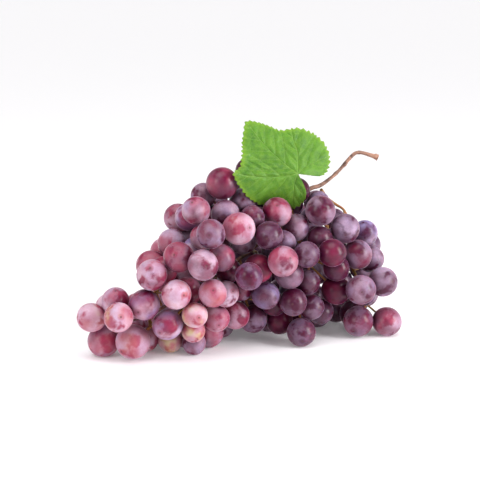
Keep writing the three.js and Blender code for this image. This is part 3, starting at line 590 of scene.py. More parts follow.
def start_back_berries(seen):
    """The berries of the hidden side, in staggered rows round the back of the form."""
    draw = seeded_draw(SEED)
    berries = []
    row = 0
    x = BACK_START
    while x <= BACK_END:
        deep, half_deep, high, half_high = section_at(x)
        walked = BACK_STEP * BACK_ROW_STARTS[row % 2]
        previous = None
        for i in range(ARC_STEPS + 1):
            t = -1 + (2 * i) / ARC_STEPS
            level = (1 - t * t) / (1 + t * t)
            rise = (2 * t) / (1 + t * t)
            p = (x, deep + half_deep * BACK_SHARE * level, high + half_high * rise)
            if previous:
                walked += size(sub(p, previous))
            previous = p
            if walked < BACK_STEP:
                continue
            walked -= BACK_STEP
            radius = BACK_RADIUS + BACK_RADIUS_DRAW * draw()
            wander = (draw() - 0.5, draw() - 0.5, draw() - 0.5)
            at = add(p, times(wander, BACK_WANDER))
            at = (at[0], at[1], max(at[2], radius - TABLE_FLAT))
            taken = [*seen, *berries]
            if any(size(sub(at, b.at)) < BACK_CROWD * (radius + b.radius) for b in taken):
                continue
            berries.append(Berry(at, radius, at))
        row += 1
        x += BACK_ROW_STEP
    return berries


def nearest_share(p, a, b):
    """The point of the line from a to b nearest to p, as a share of its length."""
    d = sub(b, a)
    return max(0, min(1, dot(sub(p, a), d) / dot(d, d)))


def draw_home(berry):
    if not berry.seen:
        berry.at = add(berry.at, times(sub(berry.home, berry.at), BACK_PULL))
        return
    now = dot(sub(berry.at, EYE), berry.line) / dot(berry.line, berry.line)
    s = now + (berry.home - now) * (TABLE_PULL if berry.stands else DEPTH_PULL)
    p = along_sight(berry.line, s)
    x, _, z = berry.at
    berry.at = (x + (p[0] - x) * SIDE_PULL, p[1], z + (p[2] - z) * SIDE_PULL)
    berry.radius = s * berry.share


def push_apart(berries):
    for i, one in enumerate(berries):
        for other in berries[:i]:
            need = one.radius + other.radius + BERRY_GAP
            x, y, z = one.at
            p, q, r = other.at
            dx, dy, dz = x - p, y - q, z - r
            far2 = dx * dx + dy * dy + dz * dz
            if far2 >= need * need:
                continue
            far = math.sqrt(far2)
            push = (need - far) / far
            part = 0.5
            if one.seen != other.seen:
                part = SEEN_YIELDS if one.seen else 1 - SEEN_YIELDS
            one.at = add(one.at, times((dx, dy, dz), push * part))
            other.at = sub(other.at, times((dx, dy, dz), push * (1 - part)))


def push_off_stems(berry, stems):
    for stem in stems:
        if size(sub(berry.at, stem.middle)) > stem.reach + berry.radius:
            continue
        t = nearest_share(berry.at, stem.a, stem.b)
        p = blend(stem.a, stem.b, t)
        need = berry.radius + mix(stem.radius_a, stem.radius_b, t) + STEM_ROOM
        d = sub(berry.at, p)
        far = size(d)
        if far < need:
            berry.at = add(berry.at, times(d, ((need - far) / far) * 0.5))


def settle(berries, stems, rounds):
    for _ in range(rounds):
        for berry in berries:
            draw_home(berry)
        push_apart(berries)
        for berry in berries:
            push_off_stems(berry, stems)
            x, y, z = berry.at
            berry.at = (x, y, max(z, berry.radius - TABLE_FLAT))


def under_leaf(x, y):
    """Whether a place of the picture plane is inside the leaf's outline."""
    inside = False
    px, py = x - LEAF_HEART[0], y - LEAF_HEART[1]
    for (ax, ay), (bx, by) in zip(LEAF_OUTLINE, LEAF_OUTLINE[1:] + LEAF_OUTLINE[:1]):
        if (ay > py) != (by > py) and px < ax + ((py - ay) / (by - ay)) * (bx - ax):
            inside = not inside
    return inside


def peeks(berry, seen):
    """Whether a hidden berry's rim shows past the seen ones and the leaf."""
    across, up, far = in_picture(berry.at)
    radius = berry.radius / far
    discs = [(*in_picture(b.at), b.radius * PEEK_REACH) for b in seen]
    shown = 0
    for i in range(PEEK_TESTS):
        angle = (i * 2 * math.pi) / PEEK_TESTS
        x = across + radius * math.cos(angle) * PEEK_RIM
        y = up + radius * math.sin(angle) * PEEK_RIM
        covered = any(
            df < far and (x - dx) * (x - dx) + (y - dy) * (y - dy) < (dr / df) * (dr / df)
            for dx, dy, df, dr in discs
        )
        if not covered and not under_leaf(x, y):
            shown += 1
    return shown > PEEK_POINTS


def stem_distance(p, stems):
    """How far a point is from the surface of the nearest of some stems."""
    least = math.inf
    for stem in stems:
        t = nearest_share(p, stem.a, stem.b)
        reach = mix(stem.radius_a, stem.radius_b, t)
        least = min(least, size(sub(p, blend(stem.a, stem.b, t))) - reach)
    return least


def inside_berries(berries, stems):
    """Berries in the room that is left inside, so that the bunch is as close as a real one."""
    found = []
    x = BACK_START
    while x <= BACK_END:
        deep, half_deep, high, half_high = section_at(x)
        half_deep *= INSIDE_SHARE
        half_high *= INSIDE_SHARE
        y = deep - half_deep
        while y <= deep + half_deep:
            z = high - half_high
            while z <= high + half_high:
                at = (x, y, z)
                ey, ez = (y - deep) / half_deep, (z - high) / half_high
                z += INSIDE_STEP
                if ey * ey + ez * ez > 1:
                    continue
                room = room_at(at, [*berries, *found], stems)
                if room >= INSIDE_LEAST:
                    found.append(Berry(at, room, at))
            y += INSIDE_STEP
        x += INSIDE_STEP
    return found


def room_at(at, berries, stems):
    """The largest berry that fits at a place, or 0 where none does."""
    room = min(INSIDE_MOST, at[2] + TABLE_FLAT)
    for berry in berries:
        room = min(room, size(sub(at, berry.at)) - berry.radius - BERRY_GAP)
        if room < INSIDE_LEAST:
            return 0
    return min(room, stem_distance(at, stems) - STEM_ROOM)


def trim(berries, stems):
    """Takes off the radii what still overlaps after settling."""
    for i, one in enumerate(berries):
        for other in berries[:i]:
            lap = one.radius + other.radius + BERRY_GAP - size(sub(one.at, other.at))
            if lap > 0:
                one.radius -= lap / 2
                other.radius -= lap / 2
        for stem in stems:
            t = nearest_share(one.at, stem.a, stem.b)
            far = size(sub(one.at, blend(stem.a, stem.b, t)))
            lap = one.radius + mix(stem.radius_a, stem.radius_b, t) + STEM_GAP - far
            if lap > 0:
                one.radius -= lap


def place_berries(stems):
    seen = start_seen_berries()
    settle(seen, stems, SEEN_ROUNDS)
    back = start_back_berries(seen)
    settle([*seen, *back], stems, ALL_ROUNDS)
    outer = [*seen, *(b for b in back if not peeks(b, seen))]
    berries = [*outer, *inside_berries(outer, stems)]
    trim(berries, stems)
    return berries


def gap_berries():
    """The late berries behind the gaps."""
    made = []
    for across, up, deep, radius in GAP_BERRIES:
        at = on_sight(across, up, deep)
        made.append(Berry(at, radius, at))
    return made


def stretches(points, radii):
    """A line of points with radii as the stretches between them."""
    return [Stretch(*ends) for ends in zip(points, points[1:], radii, radii[1:])]


def clear_of_main_stem(points, main_stem):
    """A lateral starts beside the main stem, just clear of its surface."""
    share = 0
    need = LATERAL_RADIUS + STEM_GAP
    while stem_distance(blend(points[0], points[1], share), main_stem) < need:
        share += CLEAR_STEP
    return [blend(points[0], points[1], share), *points[1:]]


def stalk_roots(lateral):
    """The places along a lateral that fruit stalks may leave from, past its bare first part."""
    roots = []
    for i, stretch in enumerate(lateral):
        whole = size(sub(stretch.b, stretch.a))
        way = LATERAL_FREE * whole if i == 0 else ROOT_STEP / 2
        while way <= whole:
            roots.append(blend(stretch.a, stretch.b, way / whole))
            way += ROOT_STEP
    return roots


def hang_berries(berries, roots):
    """Each berry hangs on the nearest lateral, and takes the nearest root that is free."""
    free = {name: list(places) for name, places in roots.items()}
    for berry in berries:
        far = {
            name: min(size(sub(place, berry.at)) for place in places)
            for name, places in roots.items()
        }
        berry.spray = min(far, key=far.get)
        choice = free[berry.spray] or roots[berry.spray]
        berry.root = min(choice, key=lambda place: size(sub(place, berry.at)))
        if berry.root in free[berry.spray]:
            free[berry.spray].remove(berry.root)


def moved_out(p, middle, need):
    """A point moved out to some distance from a middle, if it is nearer."""
    d = sub(p, middle)
    near2 = dot(d, d)
    return add(middle, times(d, need / math.sqrt(near2))) if near2 < need * need else p


def bend_clear(points, berries, stems, room, rounds, free_end=False):
    """Bends a line of points clear of berries and stems; its last point moves only if free."""
    last = len(points) - 1
    for _ in range(rounds):
        for k in range(1, last + (1 if free_end else 0)):
            p = points[k]
            if k < last:
                p = blend(p, blend(points[k - 1], points[k + 1], 0.5), STALK_SMOOTH)
            for berry in berries:
                p = moved_out(p, berry.at, berry.radius + room)
            for stem in stems:
                t = nearest_share(p, stem.a, stem.b)
                need = mix(stem.radius_a, stem.radius_b, t) + room
                p = moved_out(p, blend(stem.a, stem.b, t), need)
            points[k] = p


def near_line(things, a, b, place_of, reach):
    """The things that a stalk from a to b could meet."""
    found = []
    for thing in things:
        place = place_of(thing)
        t = nearest_share(place, a, b)
        if size(sub(place, blend(a, b, t))) < reach:
            found.append(thing)
    return found


def stalk_path(berry, berries, stems):
    """The stalk's way from its root to its berry, bent clear of what it would pass through."""
    far = size(sub(berry.at, berry.root))
    steps = max(2, math.ceil(far / STALK_STEP))
    points = [blend(berry.root, berry.at, k / steps) for k in range(steps + 1)]
    room = STALK_RADIUS + STEM_GAP
    near = near_line(berries, berry.root, berry.at, lambda b: b.at, STALK_MEETS)
    near_stems = near_line(stems, berry.root, berry.at, lambda s: s.middle, STALK_MEETS)
    others = [b for b in near if b is not berry]
    foreign = [b for b in near if b.spray != berry.spray]
    bend_clear(points, others, near_stems, room, STALK_ROUNDS)
    bend_clear(points, foreign, near_stems, room, STALK_LAST_ROUNDS)
    limit = berry.radius * STALK_OUTSIDE
    outside = [p for p in points[1:steps] if size(sub(p, berry.at)) > limit]
    return [berry.root, *outside]


@functools.lru_cache(maxsize=None)
def bunch():
    """The whole bunch laid out: its stems, its berries and their stalks."""
    stem_points = [on_sight(*row[:3]) for row in MAIN_STEM]
    stem_radii = [row[3] for row in MAIN_STEM]
    main_stem = stretches(stem_points, stem_radii)
    laterals = {}
    for name, rows in LATERALS.items():
        points = clear_of_main_stem([on_sight(*row) for row in rows], main_stem)
        laterals[name] = stretches(points, [LATERAL_RADIUS] * len(points))
    stems = [*main_stem, *(s for lateral in laterals.values() for s in lateral)]
    berries = place_berries(stems) + gap_berries()
    trim(berries, [])
    roots = {name: stalk_roots(lateral) for name, lateral in laterals.items()}
    hang_berries(berries, roots)
    for berry in berries:
        foreign_stems = [s for s in stems if s not in laterals[berry.spray]]
        berry.path = stalk_path(berry, berries, foreign_stems)
    give_ripeness(berries)
    return {"stem_points": stem_points, "stem_radii": stem_radii, "laterals": laterals,
            "stems": stems, "berries": berries}


def give_ripeness(berries):
    """How ripe each berry is and how thick its bloom is, by its place and a seeded draw."""
    draw = seeded_draw(SEED + 1)

    def drawn(least, span):
        return least + span * draw()

    chosen = {i: value for value, places in RIPENESS_OF.items() for i in places}
    for i, berry in enumerate(berries):
        along = (berry.at[0] - ROSY_UNTIL) / (DARK_FROM - ROSY_UNTIL)
        along = min(1, max(0, along))
        rule = RIPENESS_LEAST + RIPENESS_GAIN * along + RIPENESS_DRAW * (draw() - 0.5)
        berry.ripeness = chosen.get(i, rule)
        berry.bloom = drawn(*BLOOM) - BLOOM_LOSS * along
        berry.blue = drawn(*BLUENESS)
        berry.window_aside = (drawn(*WINDOW_ASIDE), 0.0, drawn(*WINDOW_ASIDE))
        berry.window_edge = drawn(*WINDOW_EDGE)
        for places, least, span in BLOOM_OF:
            if i in places:
                berry.bloom = drawn(least, span)
        if i in WINDOWED:
            berry.window_aside = FRONT_WINDOW_ASIDE
            berry.window_edge = FRONT_WINDOW_EDGE
        if i in BLUE_BLOOMED:
            berry.blue = drawn(*BLUE_BLUENESS)
        berry.seed = SEED_DRAW * draw()
        berry.long = drawn(*LENGTH)


def smooth_line(points, per_step):
    """A smooth curve through points, with some steps between each two."""
    p = np.array([points[0], *points, points[-1]])
    p[0] = 2 * p[1] - p[2]
    p[-1] = 2 * p[-2] - p[-3]
    made = []
    for k in range(1, len(p) - 2):
        for t in np.arange(per_step) / per_step:
            a = 2 * p[k]
            b = p[k + 1] - p[k - 1]
            c = 2 * p[k - 1] - 5 * p[k] + 4 * p[k + 1] - p[k + 2]
            d = 3 * p[k] - p[k - 1] - 3 * p[k + 1] + p[k + 2]
            made.append(0.5 * (a + t * (b + t * (c + t * d))))
    made.append(p[-2])
    return np.array(made)


def value_node(tree, kind, inputs=None, **settings):
    """Adds a node, sets its properties, and sets or links its inputs."""
    made = tree.nodes.new(kind)
    for key, value in settings.items():
        setattr(made, key, value)
    for key, value in (inputs or {}).items():
        if isinstance(value, bpy.types.NodeSocket):
            tree.links.new(value, made.inputs[key])
        else:
            made.inputs[key].default_value = value
    return made


def maths(tree, operation, a, b=0.0, clamp=False):
    """The result of a sum on two values or sockets."""
    made = value_node(tree, "ShaderNodeMath", {0: a, 1: b}, operation=operation, use_clamp=clamp)
    return made.outputs[0]


def product(tree, *values):
    """The product of values or sockets."""
    made = values[0]
    for value in values[1:]:
        made = maths(tree, "MULTIPLY", made, value)
    return made


def swing(tree, value, reach):
    """A noise's value as a swing to both sides of nought."""
    return product(tree, maths(tree, "SUBTRACT", value, 0.5), reach)


def vector_scaled(tree, vector, scale):
    """A vector made longer or shorter."""
    made = value_node(tree, "ShaderNodeVectorMath", {0: vector, "Scale": scale}, operation="SCALE")
    return made.outputs[0]


def colour_mix(tree, share, a, b):
    """A colour between two others."""
    made = value_node(tree, "ShaderNodeMix", {0: share, 6: a, 7: b}, data_type="RGBA")
    return made.outputs[2]


def stepped(tree, value, low, high, to_low=0.0, to_high=1.0):
    """A value brought smoothly from one range to another."""
    made = value_node(
        tree,
        "ShaderNodeMapRange",
        {0: value, 1: low, 2: high, 3: to_low, 4: to_high},
        interpolation_type="SMOOTHSTEP",
    )
    return made.outputs[0]


def noise(tree, place, scale, detail=2.0, rough=0.5, distortion=0.0):
    made = value_node(
        tree,
        "ShaderNodeTexNoise",
        {"Vector": place, "Scale": scale, "Detail": detail, "Roughness": rough,
         "Distortion": distortion},
    )
    return made.outputs[0]


def field(tree, place, name):
    """One of the noise fields, by its name."""
    noise_values = FIELDS[name][:4]
    return stepped(tree, noise(tree, place, *noise_values), *FIELDS[name][4:])


def attribute(tree, name, output="Fac"):
    return value_node(tree, "ShaderNodeAttribute", attribute_name=name).outputs[output]


def rgba(colour):
    return (*colour[:3], 1.0)


def new_group(name, inputs, outputs):
    """An empty shader group with named inputs and outputs."""
    tree = bpy.data.node_groups.new(name, "ShaderNodeTree")
    kinds = {"value": "NodeSocketFloat", "colour": "NodeSocketColor", "place": "NodeSocketVector"}
    for label, kind, *default in inputs:
        socket = tree.interface.new_socket(name=label, in_out="INPUT", socket_type=kinds[kind])
        if default:
            socket.default_value = default[0]
    for label, kind in outputs:
        tree.interface.new_socket(name=label, in_out="OUTPUT", socket_type=kinds[kind])
    entry = tree.nodes.new("NodeGroupInput").outputs
    leaving = tree.nodes.new("NodeGroupOutput").inputs
    return tree, entry, leaving


def ripened_skin(tree, entry, place):
    """The bare skin's colour, unevenly ripe, and riper and darker where another berry is close:
    painted shade between the berries.
    """
    uneven = swing(tree, noise(tree, place, RIPENESS_NOISE), RIPENESS_SWING)
    ripe = maths(tree, "ADD", entry["Ripeness"], uneven, clamp=True)
    # Painted shade: riper, darker skin where another berry is close.
    ripe = maths(tree, "ADD", ripe, product(tree, entry["Closeness"], PAINTED_SHADE_BETWEEN), clamp=True)
    skin = entry["Green"]
    for label, (low, high) in SKIN_STEPS.items():
        skin = colour_mix(tree, stepped(tree, ripe, low, high), skin, entry[label])
    return skin


def bloom_veil(tree, entry, place):
    """How thickly the bloom covers the skin: cloudy, thin in windows facing the eye (rubbed bloom
    and painted sheen), thin near other berries (rubbed bloom and painted shade).
    """
    facing = value_node(
        tree,
        "ShaderNodeVectorMath",
        {0: entry["Place"], 1: entry["Window"]},
        operation="DOT_PRODUCT",
    ).outputs["Value"]
    ragged = swing(tree, noise(tree, place, *WINDOW_NOISE), WINDOW_RAGGED)
    inside = maths(tree, "SUBTRACT", maths(tree, "ADD", facing, ragged), entry["Window Edge"])
    # Windows turned towards the eye: partly rubbed bloom, partly painted sheen, as the bloom shows
    # thick only at the rim.
    rubbed = stepped(tree, inside, *STEPS["window edge"])
    clouds = [field(tree, place, name) for name in ("bloom", "cloud", "streaks", "windows")]
    # Less bloom where another berry is close: rubbed bloom, and painted shade between the berries.
    kept = stepped(tree, entry["Closeness"], *STEPS["rubbed bloom and painted shade"])
    veil = product(tree, *clouds, rubbed, entry["Bloom"])
    return maths(tree, "MULTIPLY", veil, kept, clamp=True)


def bloom_dust(tree, entry, place):
    """The bloom's own colour: darker on ripe berries, bluish in places."""
    darker = stepped(tree, entry["Ripeness"], *STEPS["dark bloom"])
    dust = colour_mix(tree, darker, entry["Light Bloom"], entry["Dark Bloom"])
    blue = product(tree, field(tree, place, "blueness"), entry["Blueness"])
    return colour_mix(tree, blue, dust, entry["Blue Bloom"])


@functools.lru_cache(maxsize=None)
def skin_group():
    """The berry's skin under its bloom, with specks and the scar at the tip."""
    tree, entry, leaving = new_group(
        "Grape Skin",
        [("Place", "place"), ("Seed", "value", 0.0), ("Ripeness", "value", 0.5),
         ("Bloom", "value", 0.5), ("Blueness", "value", 0.2), ("Closeness", "value", 0.0),
         ("Window", "place"), ("Window Edge", "value", 0.9),
         *((label, "colour") for label in SKIN_COLOURS)],
        [("Colour", "colour"), ("Roughness", "value"), ("Height", "value")],
    )
    seed = entry["Seed"]
    shift = value_node(tree, "ShaderNodeCombineXYZ", {0: seed, 1: seed, 2: seed}).outputs[0]
    place = value_node(
        tree, "ShaderNodeVectorMath", {0: entry["Place"], 1: shift}, operation="ADD"
    ).outputs[0]
    skin = ripened_skin(tree, entry, place)
    veil = bloom_veil(tree, entry, place)
    colour = colour_mix(tree, veil, skin, bloom_dust(tree, entry, place))

    spots = value_node(
        tree, "ShaderNodeTexVoronoi", {"Vector": place, "Scale": SPECK_SCALE, "Randomness": 1.0}
    ).outputs["Distance"]
    speck = product(tree, stepped(tree, spots, *STEPS["speck"]), field(tree, place, "specks"))
    colour = colour_mix(tree, speck, colour, entry["Scar"])
    height = value_node(tree, "ShaderNodeSeparateXYZ", {0: entry["Place"]}).outputs[2]
    colour = colour_mix(tree, stepped(tree, height, *STEPS["halo"]), colour, skin)
    colour = colour_mix(tree, stepped(tree, height, *STEPS["tip"]), colour, entry["Scar"])

    tree.links.new(colour, leaving["Colour"])
    tree.links.new(stepped(tree, veil, *STEPS["skin roughness"]), leaving["Roughness"])
    fine = product(tree, noise(tree, place, *FINE_NOISE), FINE_SHARE)
    tree.links.new(maths(tree, "ADD", fine, veil), leaving["Height"])
    return tree


def principled(material, **inputs):
    """The material's own shader with its constants set on its sockets."""
    shader = next(n for n in material.node_tree.nodes if n.type == "BSDF_PRINCIPLED")
    for key, value in inputs.items():
        shader.inputs[key.replace("_", " ")].default_value = value
    return shader


def new_material(name):
    material = bpy.data.materials.new(name)
    material.use_nodes = True
    return material, material.node_tree


def bump(tree, shader, height, strength, distance):
    made = value_node(
        tree, "ShaderNodeBump", {"Height": height, "Strength": strength, "Distance": distance}
    )
    tree.links.new(made.outputs[0], shader.inputs["Normal"])


@functools.lru_cache(maxsize=None)
def skin_material(slot):
    """Grape skin, as on every berry; the slot only names it."""
    look = bpy.context.scene.grape_berries
    material, tree = new_material(slot)
    group = tree.nodes.new("ShaderNodeGroup")
    group.node_tree = skin_group()
    sources = {"Place": ("berry_place", "Vector"), "Seed": ("berry_seed", "Fac"),
               "Ripeness": ("berry_ripeness", "Fac"), "Bloom": ("berry_bloom", "Fac"),
               "Blueness": ("berry_blue", "Fac"), "Closeness": ("berry_close", "Fac"),
               "Window": ("berry_window", "Vector"), "Window Edge": ("berry_window_edge", "Fac")}
    for label, (name, output) in sources.items():
        tree.links.new(attribute(tree, name, output), group.inputs[label])
    for label in SKIN_COLOURS:
        colour = getattr(look, label.lower().replace(" ", "_"))
        group.inputs[label].default_value = rgba(colour)
    shader = principled(
        material,
        Subsurface_Weight=0.35,
        Subsurface_Radius=(1.0, 0.32, 0.24),
        Subsurface_Scale=0.0035,
        Sheen_Weight=0.65,
        Sheen_Roughness=0.22,
        Sheen_Tint=(0.95, 0.5, 0.76, 1.0),
        Specular_IOR_Level=0.32,
        IOR=1.42,
    )
    tree.links.new(group.outputs["Colour"], shader.inputs["Base Color"])
    tree.links.new(group.outputs["Roughness"], shader.inputs["Roughness"])
    bump(tree, shader, group.outputs["Height"], strength=0.12, distance=0.0003)
    return material


@functools.lru_cache(maxsize=None)
def bark_group():
    """Stalk bark: streaks and spots of green, brown and red in the object's own frame."""
    tree, entry, leaving = new_group(
        "Stalk Bark",
        [("Place", "place"), ("Scale", "value", 1.0), ("Base", "colour"), ("Brown", "colour"),
         ("Warm", "colour")],
        [("Colour", "colour"), ("Roughness", "value"), ("Height", "value")],
    )
    place = vector_scaled(tree, entry["Place"], entry["Scale"])
    streaks = field(tree, place, "bark streaks")
    spots = field(tree, place, "bark spots")
    colour = colour_mix(tree, field(tree, place, "bark"), entry["Base"], entry["Warm"])
    for marks, share in ((streaks, BARK_STREAKS), (spots, BARK_SPOTS)):
        colour = colour_mix(tree, product(tree, marks, share), colour, entry["Brown"])
    tree.links.new(colour, leaving["Colour"])
    tree.links.new(stepped(tree, streaks, *STEPS["bark roughness"]), leaving["Roughness"])
    tree.links.new(maths(tree, "ADD", streaks, spots), leaving["Height"])
    return tree


def barked(name, scale, base, brown, warm):
    """A new material and the bark group in it, with its colours."""
    material, tree = new_material(name)
    group = tree.nodes.new("ShaderNodeGroup")
    group.node_tree = bark_group()
    place = value_node(tree, "ShaderNodeTexCoord").outputs["Object"]
    tree.links.new(place, group.inputs["Place"])
    group.inputs["Scale"].default_value = scale
    for label, colour in (("Base", base), ("Brown", brown), ("Warm", warm)):
        group.inputs[label].default_value = rgba(colour)
    return material, tree, group


def finish_bark(material, group, colour, weight, strength, distance):
    """Links a bark group to the material's shader, with a colour that may be changed."""
    tree = material.node_tree
    shader = principled(material, Subsurface_Weight=weight, Subsurface_Scale=0.001)
    tree.links.new(colour, shader.inputs["Base Color"])
    tree.links.new(group.outputs["Roughness"], shader.inputs["Roughness"])
    bump(tree, shader, group.outputs["Height"], strength, distance)
    return material


@functools.lru_cache(maxsize=None)
def stalk_material():
    """The green to brown skin of the thin fruit stalks and laterals."""
    look = bpy.context.scene.grape_stalks
    colours = (look.stalk_green, look.stalk_brown, look.stalk_warm)
    material, _, group = barked("stalk_skin", 1000.0, *colours)
    colour = group.outputs["Colour"]
    return finish_bark(material, group, colour, weight=0.1, strength=0.4, distance=0.0002)


def tree_for_meshes(name, inputs):
    """An empty geometry tree with named inputs; returns the tree, its entry and its exit."""
    tree = bpy.data.node_groups.new(name, "GeometryNodeTree")
    tree.interface.new_socket(name="Geometry", in_out="INPUT", socket_type="NodeSocketGeometry")
    for label, kind, *default in inputs:
        socket = tree.interface.new_socket(name=label, in_out="INPUT", socket_type=kind)
        if default:
            socket.default_value = default[0]
    tree.interface.new_socket(name="Geometry", in_out="OUTPUT", socket_type="NodeSocketGeometry")
    entry = tree.nodes.new("NodeGroupInput").outputs
    leaving = tree.nodes.new("NodeGroupOutput").inputs
    return tree, entry, leaving


def named(tree, name, kind="FLOAT"):
    made = value_node(tree, "GeometryNodeInputNamedAttribute", {"Name": name}, data_type=kind)
    return made.outputs["Attribute"]


def raised(tree, geometry, reach, wave_length):
    """A surface moved in and out along its normals by a soft noise."""
    position = value_node(tree, "GeometryNodeInputPosition").outputs[0]
    wave = noise(tree, position, maths(tree, "DIVIDE", 1.0, wave_length), 1.0)
    normal = value_node(tree, "GeometryNodeInputNormal").outputs[0]
    offset = vector_scaled(tree, normal, swing(tree, wave, reach))
    made = value_node(tree, "GeometryNodeSetPosition", {"Geometry": geometry, "Offset": offset})
    return made.outputs[0]


def dress(tree, geometry, material, leaving):
    """Ends a tree with the surface smooth and in its material."""
    smooth = value_node(tree, "GeometryNodeSetShadeSmooth", {"Geometry": geometry}).outputs[0]
    final = value_node(tree, "GeometryNodeSetMaterial", {"Geometry": smooth, "Material": material})
    tree.links.new(final.outputs[0], leaving["Geometry"])


@functools.lru_cache(maxsize=None)
def berry_tree():
    """Sets one finished berry on every point, turned, sized, slightly uneven and on the floor."""
    tree, entry, leaving = tree_for_meshes(
        "Berries on a Spray",
        [("Berry", "NodeSocketObject"), ("Unevenness", "NodeSocketFloat", 0.0003),
         ("Wave Length", "NodeSocketFloat", 0.012), ("Skin", "NodeSocketMaterial")],
    )
    berry = value_node(tree, "GeometryNodeObjectInfo", {"Object": entry["Berry"]})
    placed = value_node(
        tree,
        "GeometryNodeInstanceOnPoints",
        {"Points": entry["Geometry"], "Instance": berry.outputs["Geometry"],
         "Rotation": named(tree, "berry_turn", "FLOAT_VECTOR"),
         "Scale": named(tree, "berry_size", "FLOAT_VECTOR")},
    )
    whole = value_node(tree, "GeometryNodeRealizeInstances", {0: placed.outputs[0]}).outputs[0]
    uneven = raised(tree, whole, entry["Unevenness"], entry["Wave Length"])
    position = value_node(tree, "GeometryNodeInputPosition").outputs[0]
    x, y, z = value_node(tree, "ShaderNodeSeparateXYZ", {0: position}).outputs
    above = maths(tree, "MAXIMUM", z, 0.0)
    rested = value_node(tree, "ShaderNodeCombineXYZ", {0: x, 1: y, 2: above}).outputs[0]
    flat = value_node(tree, "GeometryNodeSetPosition", {"Geometry": uneven, "Position": rested})
    dress(tree, flat.outputs[0], entry["Skin"], leaving)
    return tree


@functools.lru_cache(maxsize=None)
def stalk_tree():
    """Sweeps a round section along each line, as thick as the line's own radius says."""
    tree, entry, leaving = tree_for_meshes(
        "Stalks along Lines",
        [("Sides", "NodeSocketInt", 8), ("Knobbliness", "NodeSocketFloat", 0.0001),
         ("Wave Length", "NodeSocketFloat", 0.002), ("Bark", "NodeSocketMaterial")],
    )
    line = value_node(tree, "GeometryNodeMeshToCurve", {"Mesh": entry["Geometry"]})
    ring = value_node(
        tree, "GeometryNodeCurvePrimitiveCircle", {"Resolution": entry["Sides"], "Radius": 1.0}
    )
    tube = value_node(
        tree,
        "GeometryNodeCurveToMesh",
        {"Curve": line.outputs[0], "Profile Curve": ring.outputs[0],
         "Scale": named(tree, "stalk_radius"), "Fill Caps": True},
    )
    bumpy = raised(tree, tube.outputs[0], entry["Knobbliness"], entry["Wave Length"])
    dress(tree, bumpy, entry["Bark"], leaving)
    return tree


def link(obj):
    bpy.context.scene.collection.objects.link(obj)
    return obj


def store(mesh, name, kind, values):
    """Keeps one value for each point of a mesh under a name."""
    made = mesh.attributes.new(name, kind, "POINT")
    field = "vector" if kind == "FLOAT_VECTOR" else "value"
    made.data.foreach_set(field, np.asarray(values, np.float32).ravel())


def through_tree(name, mesh, tree, settings):
    """A plain mesh object made from a mesh by a geometry tree with these inputs."""
    source = link(bpy.data.objects.new(name + "_source", mesh))
    modifier = source.modifiers.new("build", "NODES")
    modifier.node_group = tree
    for item in tree.interface.items_tree:
        if item.in_out == "INPUT" and item.name in settings:
            modifier[item.identifier] = settings[item.name]
    shown = source.evaluated_get(bpy.context.evaluated_depsgraph_get())
    made = bpy.data.meshes.new_from_object(shown)
    made.name = name
    bpy.data.objects.remove(source)
    return link(bpy.data.objects.new(name, made))


def hand_over(piece, slot, *nodes):
    """The piece rides with the bunch and stands for its nodes; its slot is not used."""
    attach(piece, "root")
    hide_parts(*nodes)


def mesh_of(name, spots, faces):
    mesh = bpy.data.meshes.new(name)
    mesh.from_pydata([tuple(map(float, p)) for p in spots], [], faces)
    mesh.update()
    return mesh


def hump(far, high, wide):
    """The height of a smooth hump of this height and reach, some way from its middle."""
    return high * math.exp(-((far / wide) ** 2))


@functools.lru_cache(maxsize=None)
def berry_model():
    """One berry of radius 1 with its tip up: a round body with the tip's scar in a shallow
    dimple, and a dent at the foot where its stalk goes in."""
    heights = [*BERRY_TIP_RINGS, *np.linspace(*BERRY_SIDE_RINGS)]
    heights += [math.pi - back for back in BERRY_FOOT_RINGS]
    spots, faces = [], []
    for angle in heights:
        reach = 1 - hump(angle, *BERRY_DIMPLE) + hump(angle, *BERRY_SCAR)
        reach -= hump(math.pi - angle, *BERRY_DENT)
        ring = 1 if angle in (0.0, math.pi) else BERRY_AROUND
        for i in range(ring):
            turn = 2 * math.pi * i / BERRY_AROUND
            unround = 1 + BERRY_UNROUND * math.cos(2 * turn) * math.sin(angle) ** 2
            out = reach * math.sin(angle) * unround
            spots.append((out * math.cos(turn), out * math.sin(turn), reach * math.cos(angle)))
    last = len(spots) - 1
    rings = len(heights) - 2
    for i in range(BERRY_AROUND):
        j = (i + 1) % BERRY_AROUND
        faces.append((0, 1 + i, 1 + j))
        for k in range(rings - 1):
            a, b = 1 + k * BERRY_AROUND, 1 + (k + 1) * BERRY_AROUND
            faces.append((a + i, b + i, b + j, a + j))
        end = 1 + (rings - 1) * BERRY_AROUND
        faces.append((end + i, last, end + j))
    mesh = mesh_of("berry_model", spots, faces)
    units = [tuple(np.array(p) / np.linalg.norm(p)) for p in spots]
    store(mesh, "berry_place", "FLOAT_VECTOR", units)
    return bpy.data.objects.new("berry_model", mesh)


def turn_towards(way, spin):
    """The Euler turn that brings +Z to a direction, after a spin about it."""
    x, y, z = (c / size(way) for c in way)
    tilt = math.acos(max(-1.0, min(1.0, z)))
    turns = [(math.atan2(y, x), "Z"), (tilt, "Y"), (spin, "Z")]
    first, second, third = (Matrix.Rotation(angle, 3, axis) for angle, axis in turns)
    return tuple((first @ second @ third).to_euler())


def bare_window_toward_eye(berry, turn):
    """The way, in the berry's own frame, to the middle of its bare spot, turned towards the eye:
    partly where it lost its bloom, partly painted sheen, thin bloom in the middle and thick at the
    rim as seen.
    """
    towards = Vector(sub(EYE, berry.at)).normalized() + Vector(berry.window_aside)
    return tuple(Euler(turn).to_matrix().transposed() @ towards.normalized())


